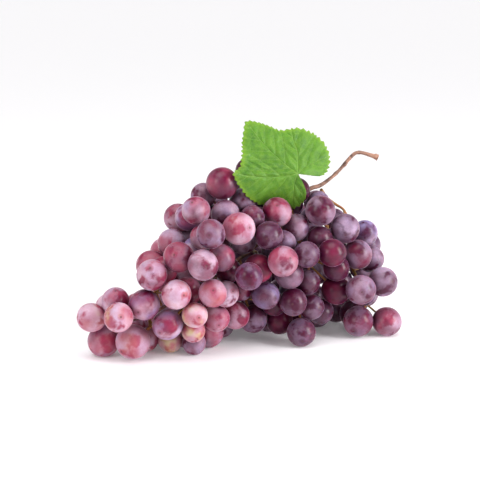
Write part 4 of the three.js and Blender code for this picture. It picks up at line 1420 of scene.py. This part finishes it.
def spray_points(name, berries):
    """One point for each berry, with its turn, size, ripeness, bloom and seed."""
    mesh = bpy.data.meshes.new(name)
    mesh.from_pydata([in_frame(b.at) for b in berries], [], [])
    turns = [turn_towards(sub(b.at, b.path[-1]), b.seed) for b in berries]
    windows = [bare_window_toward_eye(b, turn) for b, turn in zip(berries, turns)]
    grown = bpy.context.scene.grape_berries.grown / MM
    sizes = [times((1, 1, b.long), (b.radius + grown) * MM) for b in berries]
    store(mesh, "berry_turn", "FLOAT_VECTOR", turns)
    store(mesh, "berry_size", "FLOAT_VECTOR", sizes)
    store(mesh, "berry_window", "FLOAT_VECTOR", windows)
    for label in ("ripeness", "bloom", "blue", "window_edge", "seed"):
        store(mesh, "berry_" + label, "FLOAT", [getattr(b, label) for b in berries])
    return mesh


def stalk_lines(name, lateral, berries):
    """The lines of one spray's lateral and fruit stalks, with a radius at every point."""
    look = bpy.context.scene.grape_stalks
    spots, edges, radii = [], [], []

    def lay(points, radius_of):
        first = len(spots)
        for i, p in enumerate(points):
            spots.append(in_frame(p))
            radii.append(radius_of(i / (len(points) - 1)) * MM)
            if i:
                edges.append((first + i - 1, first + i))

    thick = look.lateral_radius / MM
    thin = look.stalk_radius / MM
    points = [lateral[0].a, *(s.b for s in lateral)]
    lay(smooth_line(points, LATERAL_FINE), lambda t: thick * mix(LATERAL_START, LATERAL_END, t))
    for berry in berries:
        way = sub(berry.at, berry.path[-1])
        sunk = add(berry.at, times(way, -STALK_SUNK * berry.radius / size(way)))
        path = smooth_line([*berry.path, sunk], STALK_FINE)
        far = sum(size(sub(a, b)) for a, b in zip(path, path[1:]))
        collar = COLLAR / max(far, COLLAR)

        def radius_of(t, collar=collar):
            swell = max(0, (t - 1 + collar) / collar)
            root = max(0, 1 - t / max(collar, ROOT_SHARE))
            return thin * (1 + COLLAR_SWELL * swell ** COLLAR_BEND + ROOT_SWELL * root)

        lay(path, radius_of)
    mesh = bpy.data.meshes.new(name)
    mesh.from_pydata(spots, edges, [])
    store(mesh, "stalk_radius", "FLOAT", radii)
    return mesh


def slot_of(node):
    """The record's slot of a node."""
    return next(s["material_slot"] for s in frame["record"]["subparts"] if s["node"] == node)


def mark_closeness(mesh, own):
    """Keeps for each point of the berries how close it is to another berry, from 0 to 1, which the
    skin uses for rubbed bloom and for painted shade between the berries.
    """
    spots = np.empty(len(mesh.vertices) * 3, np.float32)
    mesh.vertices.foreach_get("co", spots)
    spots = spots.reshape(-1, 3)
    laid = bunch()["berries"]
    centres = np.array([in_frame(b.at) for b in laid])
    radii = np.array([b.radius for b in laid]) * MM
    per_berry = len(spots) // len(own)
    close = np.zeros(len(spots))
    for k, berry in enumerate(own):
        part = slice(k * per_berry, (k + 1) * per_berry)
        others = np.array([b is not berry for b in laid])
        far = np.linalg.norm(spots[part, None, :] - centres[None, others, :], axis=2)
        gap = (far - radii[None, others]).min(axis=1)
        close[part] = np.clip(1 - gap / CLOSE_REACH, 0, 1)
    store(mesh, "berry_close", "FLOAT", close)


def spray_berries(name):
    own = [b for b in bunch()["berries"] if b.spray == name]
    slot = slot_of(name)
    settings = {"Berry": berry_model(), "Wave Length": BERRY_WAVE, "Skin": skin_material(slot),
                "Unevenness": bpy.context.scene.grape_berries.unevenness}
    piece = through_tree(name + "_berries", spray_points(name, own), berry_tree(), settings)
    mark_closeness(piece.data, own)
    hand_over(piece, slot, name)


def spray_stalks(name):
    own = [b for b in bunch()["berries"] if b.spray == name]
    lines = stalk_lines(name, bunch()["laterals"][name], own)
    settings = {**STALK_FORM, "Bark": stalk_material()}
    hand_over(through_tree(name + "_stalks", lines, stalk_tree(), settings), "stem", name)


def main_stem_mesh():
    """The main stem: ridged bark, knots, and a flared cut end with its pale wood face."""
    points = smooth_line(bunch()["stem_points"], STEM_PER_STEP)
    radii = smooth_line([(r, 0, 0) for r in bunch()["stem_radii"]], STEM_PER_STEP)[:, 0]
    spots, along, cut, faces = [], [], [], []
    side = np.array((0.0, 0.0, 1.0))
    count = len(points)
    for k, p in enumerate(points):
        way = points[min(k + 1, count - 1)] - points[max(k - 1, 0)]
        way /= np.linalg.norm(way)
        side = side - way * side.dot(way)
        side /= np.linalg.norm(side)
        other = np.cross(way, side)
        t = k / (count - 1)
        knot = sum(hump(t - at, high, STEM_KNOT_REACH) for at, high in STEM_KNOTS)
        for i in range(STEM_AROUND):
            turn = 2 * math.pi * i / STEM_AROUND
            waves = sum(
                high * math.sin(around * turn + twist * t + start)
                for high, around, twist, start in STEM_WAVES
            )
            swell = STEM_KNOT_EVEN + STEM_KNOT_UNEVEN * math.sin(turn + STEM_KNOT_TWIST * t)
            reach = radii[k] * (1 + waves + knot * swell)
            reach *= mix(1.0, STEM_SLIM, min(1, t / STEM_FLARE))
            spots.append(p + reach * (math.cos(turn) * side + math.sin(turn) * other))
            along.append(t)
            cut.append(0.0)
    for k in range(count - 1):
        for i in range(STEM_AROUND):
            a, b = k * STEM_AROUND + i, k * STEM_AROUND + (i + 1) % STEM_AROUND
            faces.append((a, b, b + STEM_AROUND, a + STEM_AROUND))
    close_end(points, spots, along, cut, faces, 0, 1.0)
    close_end(points, spots, along, cut, faces, count - 1, 0.0)
    mesh = mesh_of("main_stem_bark", [in_frame(p) for p in spots], faces)
    store(mesh, "stem_along", "FLOAT", along)
    store(mesh, "stem_cut", "FLOAT", cut)
    return mesh


def close_end(points, spots, along, cut, faces, k, cut_value):
    """Closes an end of the stem with rings that sink a little to its middle."""
    inward = 1 if k == 0 else -1
    way = points[k + inward] - points[k]
    way /= np.linalg.norm(way)
    ring = [k * STEM_AROUND + i for i in range(STEM_AROUND)]

    def keep(p):
        spots.append(p)
        along.append(k / (len(points) - 1))
        cut.append(cut_value)
        return len(spots) - 1

    for share, sunk in END_RINGS:
        inner = []
        for i, outer in enumerate(range(k * STEM_AROUND, (k + 1) * STEM_AROUND)):
            rough = CUT_ROUGH * math.sin(CUT_GRAIN * i) * cut_value
            inner.append(keep(points[k] + share * (spots[outer] - points[k]) + way * (sunk + rough)))
        for i in range(STEM_AROUND):
            j = (i + 1) % STEM_AROUND
            face = (ring[j], ring[i], inner[i], inner[j])
            faces.append(face[::inward])
        ring = inner
    middle = keep(points[k] + way * END_SUNK)
    for i in range(STEM_AROUND):
        face = (ring[(i + 1) % STEM_AROUND], ring[i], middle)
        faces.append(face[::inward])


def bark_material():
    """The main stem's bark: reddish brown, warmer near the cut, with a pale wood face."""
    look = bpy.context.scene.grape_stalks
    colours = (look.bark, look.bark_dark, look.bark_warm)
    material, tree, group = barked("main_stem_bark", 1000.0, *colours)
    near_cut = stepped(tree, attribute(tree, "stem_along"), *STEPS["near the cut"])
    colour = colour_mix(tree, near_cut, group.outputs["Colour"], rgba(look.bark_warm))
    wood = stepped(tree, attribute(tree, "stem_cut"), *STEPS["cut wood"])
    colour = colour_mix(tree, wood, colour, rgba(look.cut_wood))
    return finish_bark(material, group, colour, weight=0.05, strength=0.5, distance=0.0002)


def leaf_depth(across, up):
    """The blade's depth round its heart, as in the solid."""
    above = np.maximum(up, 0)
    right = np.maximum(across, 0)
    lean = np.where(up > 0, LEAF_LEAN * up, LEAF_TUCK * up)
    far_x = (across - LEAF_HOLLOW_AT[0]) / LEAF_HOLLOW_SIZE[0]
    far_y = (up - LEAF_HOLLOW_AT[1]) / LEAF_HOLLOW_SIZE[1]
    hollow = LEAF_HOLLOW * np.exp(-far_x * far_x - far_y * far_y)
    cup = LEAF_CUP * (above * above + right * right)
    return LEAF_DEEP + LEAF_SLANT * across + lean + cup + hollow


def way_along(points):
    """How far along a line of points each of them is."""
    steps = np.linalg.norm(np.diff(points, axis=0), axis=1)
    return np.concatenate(([0], np.cumsum(steps)))


def flat_curve(line, per_step):
    """A smooth curve through the flat points of a line."""
    return smooth_line([(x, y, 0) for x, y in line], per_step)[:, :2]


def spaced(points, count):
    """Points spaced evenly along a line of points, both ends included."""
    way = way_along(points)
    wanted = np.linspace(0, way[-1], count)
    return np.column_stack([np.interp(wanted, way, points[:, i]) for i in range(points.shape[1])])


def leaf_edge():
    """The toothed edge of the blade round its heart, from the heart's right to its left."""
    draw = seeded_draw(SEED + 2)
    edge = spaced(flat_curve(LEAF_OUTLINE, EDGE_FINE), LEAF_AROUND + 1)
    way = way_along(edge)
    notches = [0.0]
    while notches[-1] < way[-1]:
        wide = TOOTH_STEP_LEAST + TOOTH_STEP_DRAW * draw()
        notches.append(notches[-1] + LEAF_TOOTH_STEP * wide)
    deep = [TOOTH_DEPTH_LEAST + TOOTH_DEPTH_DRAW * draw() for _ in notches]
    for i, s in enumerate(way):
        k = max(j for j, notch in enumerate(notches) if notch <= s)
        if k + 1 >= len(notches):
            continue
        t = (s - notches[k]) / (notches[k + 1] - notches[k])
        tooth = 1 - t / TOOTH_TIP if t < TOOTH_TIP else (t - TOOTH_TIP) / (1 - TOOTH_TIP)
        ends = min(1, s / TOOTHLESS_END, (way[-1] - s) / TOOTHLESS_END)
        cut = LEAF_TOOTH * deep[k] * tooth * ends
        edge[i] *= 1 - cut / max(np.linalg.norm(edge[i]), 1)
    return edge


def side_veins():
    """Side veins by a rule: both sides of each main vein in turn, bent towards its tip."""
    made = []
    for line in LEAF_VEINS.values():
        points = flat_curve(line, SIDE_VEIN_FINE)
        way = way_along(points)
        s = SIDE_VEIN_START * SIDE_VEIN_STEP
        hand = 1
        while s < way[-1] - SIDE_VEIN_END:
            k = int(np.searchsorted(way, s)) - 1
            ahead = points[k + 1] - points[k]
            heading = math.atan2(ahead[1], ahead[0])
            reach = SIDE_VEIN_REACH * (way[-1] - s) + SIDE_VEIN_LEAST
            branch = [points[k]]
            for step in range(1, SIDE_VEIN_PARTS + 1):
                straightened = 1 - SIDE_VEIN_BEND * step / SIDE_VEIN_PARTS
                bend = heading + hand * SIDE_VEIN_TURN * straightened
                part = np.array((math.cos(bend), math.sin(bend)))
                branch.append(branch[-1] + reach / SIDE_VEIN_PARTS * part)
            made.append(np.array(branch))
            hand = -hand
            s += SIDE_VEIN_STEP / 2
    return made


def distance_to_line(spots, line):
    """How far each spot is from a line of points, and how far along the line that is."""
    best = np.full(len(spots), FAR_AWAY)
    where = np.zeros(len(spots))
    for k, (a, b) in enumerate(zip(line, line[1:])):
        d = b - a
        t = np.clip(((spots - a) @ d) / (d @ d), 0, 1)
        far = np.linalg.norm(spots - a - t[:, None] * d, axis=1)
        nearer = far < best
        best[nearer] = far[nearer]
        where[nearer] = (k + t[nearer]) / (len(line) - 1)
    return best, where


def vein_fields(spots):
    """For each spot of the blade: how much it is vein, and how much the blade puffs up there."""
    vein = np.zeros(len(spots))
    nearest = np.full(len(spots), FAR_AWAY)
    lines = [(flat_curve(line, MAIN_VEIN_FINE), MAIN_VEIN) for line in LEAF_VEINS.values()]
    lines += [(line, SIDE_VEIN) for line in side_veins()]
    for line, (width, start, taper, strength) in lines:
        far, where = distance_to_line(spots, line)
        wide = width * (start - taper * where)
        vein = np.maximum(vein, strength * np.exp(-((far / wide) ** 2)))
        nearest = np.minimum(nearest, far)
    return vein, 1 - np.exp(-((nearest / PUFF_REACH) ** 2))


def clear_of_berries(p, near):
    """A blade's point moved along its sight line off each berry that it meets."""
    line = sub(p, EYE)
    far = size(line)
    unit = times(line, 1 / far)
    s = far
    for berry in near:
        m = sub(berry.at, EYE)
        middle = dot(m, unit)
        aside2 = dot(m, m) - middle * middle
        need = berry.radius + LEAF_ROOM
        if aside2 >= need * need:
            continue
        half = math.sqrt(need * need - aside2)
        if middle - half < s < middle + half:
            s = middle - half if s < middle else middle + half
    return add(EYE, times(unit, s))


def leaf_blade():
    """The blade: fine rings round the heart, toothed at the edge, with sunk veins between
    puffed fields, and closed by an under side and a rim."""
    edge = leaf_edge()
    shares = np.linspace(0, 1, LEAF_RINGS + 1)[1:] ** RING_POWER
    flat = [np.zeros(2)]
    for share in shares:
        flat += list(edge * share)
    flat = np.array(flat)
    vein, puff = vein_fields(flat)
    across, up = flat[:, 0], flat[:, 1]
    margin = np.concatenate(([0], np.repeat(shares, LEAF_AROUND + 1)))
    angle = np.arctan2(up, across)
    waves = sum(high * np.sin(around * angle + start) for high, around, start in EDGE_WAVES)
    puffed = BLADE_PUFF * puff * (1 - margin ** PUFF_POWER)
    waved = BLADE_WAVE * margin ** WAVE_POWER * waves
    deep = leaf_depth(across, up) + VEIN_SUNK * vein - puffed + waved
    near = [b for b in bunch()["berries"] if b.at[2] > LEAF_LOWEST]
    spots = np.array([
        clear_of_berries(on_sight(x + LEAF_HEART[0], y + LEAF_HEART[1], d), near)
        for (x, y), d in zip(flat, deep)
    ])
    faces = leaf_faces()
    normals = np.zeros_like(spots)
    for a, b, c in faces:
        n = np.cross(spots[b] - spots[a], spots[c] - spots[a])
        for corner in (a, b, c):
            normals[corner] += n
    normals /= np.linalg.norm(normals, axis=1)[:, None]
    thin = LEAF_THICKNESS * (HALF_THICKNESS - EDGE_THINNING * margin ** THINNING_POWER)[:, None]
    low = spots - normals * (thin + VEIN_BELOW * vein[:, None])
    return flat, vein, faces, spots + normals * thin, low


def leaf_faces():
    wide = LEAF_AROUND + 1
    faces = []
    for i in range(LEAF_AROUND):
        faces.append((0, 1 + i, 2 + i))
    for k in range(LEAF_RINGS - 1):
        for i in range(LEAF_AROUND):
            a = 1 + k * wide + i
            b = a + wide
            faces.append((a, b, b + 1))
            faces.append((a, b + 1, a + 1))
    return faces


def leaf_mesh():
    flat, vein, faces, upper, lower = leaf_blade()
    count = len(upper)
    wide = LEAF_AROUND + 1
    whole = [tuple(f) for f in faces]
    whole += [(a + count, c + count, b + count) for a, b, c in faces]
    right = [0] + [1 + k * wide for k in range(LEAF_RINGS)]
    outer = [1 + (LEAF_RINGS - 1) * wide + i for i in range(1, wide)]
    left = [1 + k * wide + LEAF_AROUND for k in range(LEAF_RINGS - 2, -1, -1)]
    rim = [*right, *outer, *left]
    for a, b in zip(rim, rim[1:] + rim[:1]):
        whole += [(a, a + count, b + count), (a, b + count, b)]
    spots = [in_frame(p) for p in [*upper, *lower]]
    mesh = mesh_of("vine_leaf_blade", spots, whole)
    place = np.column_stack((flat, np.zeros(count)))
    store(mesh, "leaf_place", "FLOAT_VECTOR", np.concatenate((place, place)))
    store(mesh, "leaf_vein", "FLOAT", np.concatenate((vein, vein)))
    side = np.concatenate((np.ones(count), np.zeros(count)))
    store(mesh, "leaf_upper", "FLOAT", side)
    margin = np.concatenate(([0], np.repeat(np.linspace(0, 1, LEAF_RINGS + 1)[1:], wide)))
    store(mesh, "leaf_margin", "FLOAT", np.concatenate((margin, margin)))
    mesh.polygons.foreach_set("use_smooth", [True] * len(mesh.polygons))
    return mesh


def leaf_material():
    """The blade: fresh green fields with pale veins, a net of fine veins, a paler under side."""
    look = bpy.context.scene.grape_leaf
    material, tree = new_material("vine_leaf_blade")
    place = attribute(tree, "leaf_place", "Vector")
    fields = field(tree, place, "leaf fields")
    net = value_node(
        tree,
        "ShaderNodeTexVoronoi",
        {"Vector": place, "Scale": LEAF_NET_SCALE},
        feature="DISTANCE_TO_EDGE",
    ).outputs["Distance"]
    net_veins = stepped(tree, net, *STEPS["leaf net"])
    colour = rgba(look.green)
    layers = (
        (field(tree, place, "leaf tones"), look.deep_green),
        (product(tree, fields, LEAF_FRESHNESS), look.fresh_green),
        (stepped(tree, attribute(tree, "leaf_margin"), *STEPS["leaf rim"]), look.margin),
        (product(tree, net_veins, LEAF_NET_SHARE), look.vein),
        (product(tree, attribute(tree, "leaf_vein"), LEAF_VEIN_SHARE), look.vein),
    )
    for share, tone in layers:
        colour = colour_mix(tree, share, colour, rgba(tone))
    below = colour_mix(tree, LEAF_PALENESS, colour, rgba(look.under_side))
    colour = colour_mix(tree, attribute(tree, "leaf_upper"), below, colour)
    shader = principled(
        material,
        Subsurface_Weight=0.25,
        Subsurface_Radius=(0.4, 1.0, 0.15),
        Subsurface_Scale=0.0015,
        Specular_IOR_Level=0.25,
    )
    tree.links.new(colour, shader.inputs["Base Color"])
    tree.links.new(stepped(tree, fields, *STEPS["leaf roughness"]), shader.inputs["Roughness"])
    height = maths(tree, "SUBTRACT", product(tree, fields, LEAF_FIELD_HEIGHT), net_veins)
    bump(tree, shader, height, strength=0.6, distance=0.0004)
    return material


def leaf_stalk_lines(heart):
    """The line of the leaf's stalk from the heart of its blade, with its radii."""
    points = [heart, *(on_sight(*row) for row in LEAF_STALK)]
    laid = bunch()
    room = LEAF_STALK_RADIUS + LEAF_STALK_ROOM
    bend_clear(points, laid["berries"], laid["stems"], room, STALK_ROUNDS, True)
    path = smooth_line(points, LEAF_STALK_FINE)
    mesh = bpy.data.meshes.new("vine_leaf_stalk")
    edges = [(i, i + 1) for i in range(len(path) - 1)]
    mesh.from_pydata([in_frame(p) for p in path], edges, [])
    share = np.linspace(0, 1, len(path))
    foot = LEAF_STALK_FOOT * np.maximum(0, share - LEAF_STALK_FOOT_FROM)
    radii = LEAF_STALK_RADIUS * (LEAF_STALK_START + LEAF_STALK_GAIN * share + foot)
    store(mesh, "stalk_radius", "FLOAT", radii * MM)
    return mesh


def leaf_stalk_material():
    """The leaf stalk's smooth green skin, reddish in places."""
    look = bpy.context.scene.grape_leaf
    material, _, group = barked("leaf_stalk_skin", 500.0, look.vein, look.green, look.stalk_red)
    colour = group.outputs["Colour"]
    return finish_bark(material, group, colour, weight=0.1, strength=0.2, distance=0.0001)


def colour_property(name, description, default):
    return bpy.props.FloatVectorProperty(
        name=name, description=description, subtype="COLOR", default=default
    )


def length_property(name, description, default):
    return bpy.props.FloatProperty(
        name=name, description=description, default=default, unit="LENGTH"
    )


class GrapeBerrySettings(bpy.types.PropertyGroup):
    grown: length_property(
        "Grown", "How much larger a berry is than its solid, so that neighbours touch", 0.00018
    )
    unevenness: length_property("Unevenness", "How far the skin rises and falls", 0.0005)
    green: colour_property(
        "Green skin", "Skin of a berry that is hardly ripe", (0.5, 0.39, 0.2)
    )
    amber: colour_property(
        "Amber skin", "Skin where a light berry glows orange", (0.39, 0.082, 0.086)
    )
    rosy: colour_property("Rosy skin", "Skin of a light red berry", (0.32, 0.031, 0.075))
    red: colour_property("Red skin", "Skin of a red berry", (0.155, 0.0045, 0.034))
    dark: colour_property("Dark skin", "Skin of a fully ripe berry", (0.055, 0.0015, 0.019))
    light_bloom: colour_property("Light bloom", "Bloom on light berries", (0.63, 0.44, 0.54))
    dark_bloom: colour_property("Dark bloom", "Bloom on dark berries", (0.36, 0.25, 0.36))
    blue_bloom: colour_property("Blue bloom", "Bloom where it is bluish", (0.25, 0.19, 0.38))
    scar: colour_property("Scar", "The tip's scar and the specks", (0.1, 0.035, 0.04))


class GrapeStalkSettings(bpy.types.PropertyGroup):
    lateral_radius: length_property("Lateral radius", "Radius of a spray's own stem", 0.001)
    stalk_radius: length_property("Stalk radius", "Radius of a fruit stalk", 0.0007)
    stalk_green: colour_property(
        "Green stalk", "Skin of the stalks where it is green", (0.28, 0.16, 0.03)
    )
    stalk_warm: colour_property(
        "Warm stalk", "Skin of the stalks where it is orange", (0.42, 0.14, 0.04)
    )
    stalk_brown: colour_property(
        "Brown stalk", "Skin of the stalks where it is brown", (0.17, 0.06, 0.025)
    )
    bark: colour_property("Bark", "Bark of the main stem", (0.11, 0.052, 0.038))
    bark_dark: colour_property(
        "Dark bark", "Streaks in the bark of the main stem", (0.06, 0.026, 0.02)
    )
    bark_warm: colour_property(
        "Warm bark", "Bark of the main stem near its cut", (0.46, 0.24, 0.16)
    )
    cut_wood: colour_property("Cut wood", "The cut face of the main stem", (0.78, 0.6, 0.38))


class GrapeLeafSettings(bpy.types.PropertyGroup):
    green: colour_property("Green", "The blade's main green", (0.085, 0.215, 0.018))
    deep_green: colour_property("Deep green", "The blade's darker green", (0.042, 0.14, 0.008))
    fresh_green: colour_property(
        "Fresh green", "The lighter fields between the veins", (0.14, 0.285, 0.02)
    )
    margin: colour_property("Margin", "The yellowish green at the edge", (0.22, 0.34, 0.018))
    vein: colour_property("Veins", "The pale veins", (0.32, 0.5, 0.13))
    under_side: colour_property(
        "Under side", "The blade's paler, greyer under side", (0.3, 0.42, 0.2)
    )
    stalk_red: colour_property(
        "Stalk red", "The red flush of the leaf's stalk", (0.4, 0.14, 0.08)
    )


class GrapeStageSettings(bpy.types.PropertyGroup):
    floor: colour_property("Floor", "The pale floor", (0.9, 0.89, 0.905))
    glow: bpy.props.FloatProperty(
        name="Floor glow", description="How much the floor is lit from below", default=0.12,
    )
    room: bpy.props.FloatProperty(
        name="Room light", description="Strength of the even light all round", default=0.34,
    )
    over: bpy.props.FloatProperty(
        name="Overhead light", description="Strength of the wide light overhead", default=1.95,
    )
    sides: bpy.props.FloatProperty(
        name="Side light", description="Power of the soft boxes at the sides", default=5.0,
    )


class GRAPES_OT_berries(bpy.types.Operator):
    """Make the berries of every spray"""

    bl_idname = "grapes.berries"
    bl_label = "Berries"

    def execute(self, context):
        for name in LATERALS:
            spray_berries(name)
        return {"FINISHED"}


class GRAPES_OT_stalks(bpy.types.Operator):
    """Make the laterals and fruit stalks of every spray"""

    bl_idname = "grapes.stalks"
    bl_label = "Stalks"

    def execute(self, context):
        for name in LATERALS:
            spray_stalks(name)
        return {"FINISHED"}


class GRAPES_OT_main_stem(bpy.types.Operator):
    """Make the main stem with its cut end"""

    bl_idname = "grapes.main_stem"
    bl_label = "Main stem"

    def execute(self, context):
        piece = link(bpy.data.objects.new("main_stem_bark", main_stem_mesh()))
        piece.data.polygons.foreach_set("use_smooth", [True] * len(piece.data.polygons))
        piece.data.materials.append(bark_material())
        hand_over(piece, "stem", "main_stem")
        return {"FINISHED"}


class GRAPES_OT_leaf(bpy.types.Operator):
    """Make the vine leaf with its stalk"""

    bl_idname = "grapes.leaf"
    bl_label = "Vine leaf"

    def execute(self, context):
        blade = link(bpy.data.objects.new("vine_leaf_blade", leaf_mesh()))
        blade.data.materials.append(leaf_material())
        hand_over(blade, "leaf", "leaf")
        deep = float(leaf_depth(np.array(0.0), np.array(0.0))) + LEAF_STALK_DEEPER
        lines = leaf_stalk_lines(on_sight(*LEAF_HEART, deep))
        settings = {**LEAF_STALK_FORM, "Bark": leaf_stalk_material()}
        stalk = through_tree("vine_leaf_stalk", lines, stalk_tree(), settings)
        hand_over(stalk, "leaf", "leaf")
        return {"FINISHED"}


def floor_mesh():
    """A floor that reaches past the picture's top."""
    reach = FLOOR_REACH
    spots = [(-reach, -reach, 0), (reach, -reach, 0), (reach, reach, 0), (-reach, reach, 0)]
    return mesh_of("floor", spots, [(0, 1, 2, 3)])


def soft_light(name, at, wide, high, power):
    """A soft box of light at a place, facing the bunch."""
    lamp = bpy.data.lights.new(name, "AREA")
    lamp.shape = "RECTANGLE"
    lamp.size = wide
    lamp.size_y = high
    lamp.energy = power
    obj = link(bpy.data.objects.new(name, lamp))
    obj.location = at
    way = Vector(STAGE_MIDDLE) - Vector(at)
    obj.rotation_euler = way.to_track_quat("-Z", "Y").to_euler()


def set_floor(look):
    """The plain pale floor."""
    floor = link(bpy.data.objects.new("floor", floor_mesh()))
    material, _ = new_material("floor")
    principled(
        material, Base_Color=rgba(look.floor), Roughness=0.8, Specular_IOR_Level=0.2,
        Emission_Color=rgba(look.floor), Emission_Strength=look.glow,
    )
    floor.data.materials.append(material)


def set_light(scene, look):
    """Even light all round, brighter near the horizon, a wide light above and soft boxes."""
    world = bpy.data.worlds.new("room")
    world.use_nodes = True
    tree = world.node_tree
    back = tree.nodes["Background"]
    back.inputs["Color"].default_value = (1.0, 1.0, 1.0, 1.0)
    way = value_node(tree, "ShaderNodeTexCoord").outputs["Generated"]
    rise = value_node(tree, "ShaderNodeSeparateXYZ", {0: way}).outputs[2]
    strength = stepped(tree, rise, *HORIZON, HORIZON_LIGHT, look.room)
    tree.links.new(strength, back.inputs["Strength"])
    scene.world = world
    scene.view_settings.view_transform = "Standard"
    over = bpy.data.lights.new("over", "SUN")
    over.energy = look.over
    over.angle = OVER_SPREAD
    link(bpy.data.objects.new("over", over)).rotation_euler = OVER_TURN
    for name, (at, wide, high, share) in SOFT_BOXES.items():
        soft_light(name, at, wide, high, look.sides * share)


def set_camera(scene):
    """The camera stands where the viewer does and looks a little down."""
    lens = bpy.data.cameras.new("camera")
    lens.sensor_width = SENSOR_WIDTH
    lens.lens = SENSOR_WIDTH * SIGHT / PICTURE_WIDTH
    lens.clip_start = NEAREST_SEEN
    camera = link(bpy.data.objects.new("camera", lens))
    camera.location = in_frame(EYE)
    camera.rotation_euler = (math.pi / 2 - math.asin(VIEW_DROP), 0.0, 0.0)
    scene.camera = camera


class GRAPES_OT_stage(bpy.types.Operator):
    """Set the pale floor, the soft studio light and the camera"""

    bl_idname = "grapes.stage"
    bl_label = "Stage"

    def execute(self, context):
        look = context.scene.grape_stage
        set_floor(look)
        set_light(context.scene, look)
        set_camera(context.scene)
        return {"FINISHED"}


class GRAPES_PT_sidebar(bpy.types.Panel):
    """Lists what makes the bunch"""

    bl_label = "Bunch of Grapes"
    bl_idname = "GRAPES_PT_sidebar"
    bl_space_type = "VIEW_3D"
    bl_region_type = "UI"
    bl_category = "Grapes"

    def draw(self, context):
        for operator in OPERATORS:
            self.layout.operator(operator.bl_idname)
        for name in SETTINGS:
            group = getattr(context.scene, name)
            box = self.layout.box()
            for key in group.bl_rna.properties.keys():
                if key not in ("rna_type", "name"):
                    box.prop(group, key)


SETTINGS = {
    "grape_berries": GrapeBerrySettings,
    "grape_stalks": GrapeStalkSettings,
    "grape_leaf": GrapeLeafSettings,
    "grape_stage": GrapeStageSettings,
}
OPERATORS = (
    GRAPES_OT_stage,
    GRAPES_OT_berries,
    GRAPES_OT_stalks,
    GRAPES_OT_main_stem,
    GRAPES_OT_leaf,
)


def register():
    for kind in (*SETTINGS.values(), *OPERATORS, GRAPES_PT_sidebar):
        bpy.utils.register_class(kind)
    for name, kind in SETTINGS.items():
        setattr(bpy.types.Scene, name, bpy.props.PointerProperty(type=kind))


def unregister():
    for name in SETTINGS:
        delattr(bpy.types.Scene, name)
    for kind in (GRAPES_PT_sidebar, *reversed(OPERATORS), *reversed(SETTINGS.values())):
        bpy.utils.unregister_class(kind)


def main():
    register()
    bpy.ops.grapes.stage()
    bpy.ops.grapes.berries()
    bpy.ops.grapes.stalks()
    bpy.ops.grapes.main_stem()
    bpy.ops.grapes.leaf()


if __name__ == "__main__":
    main()
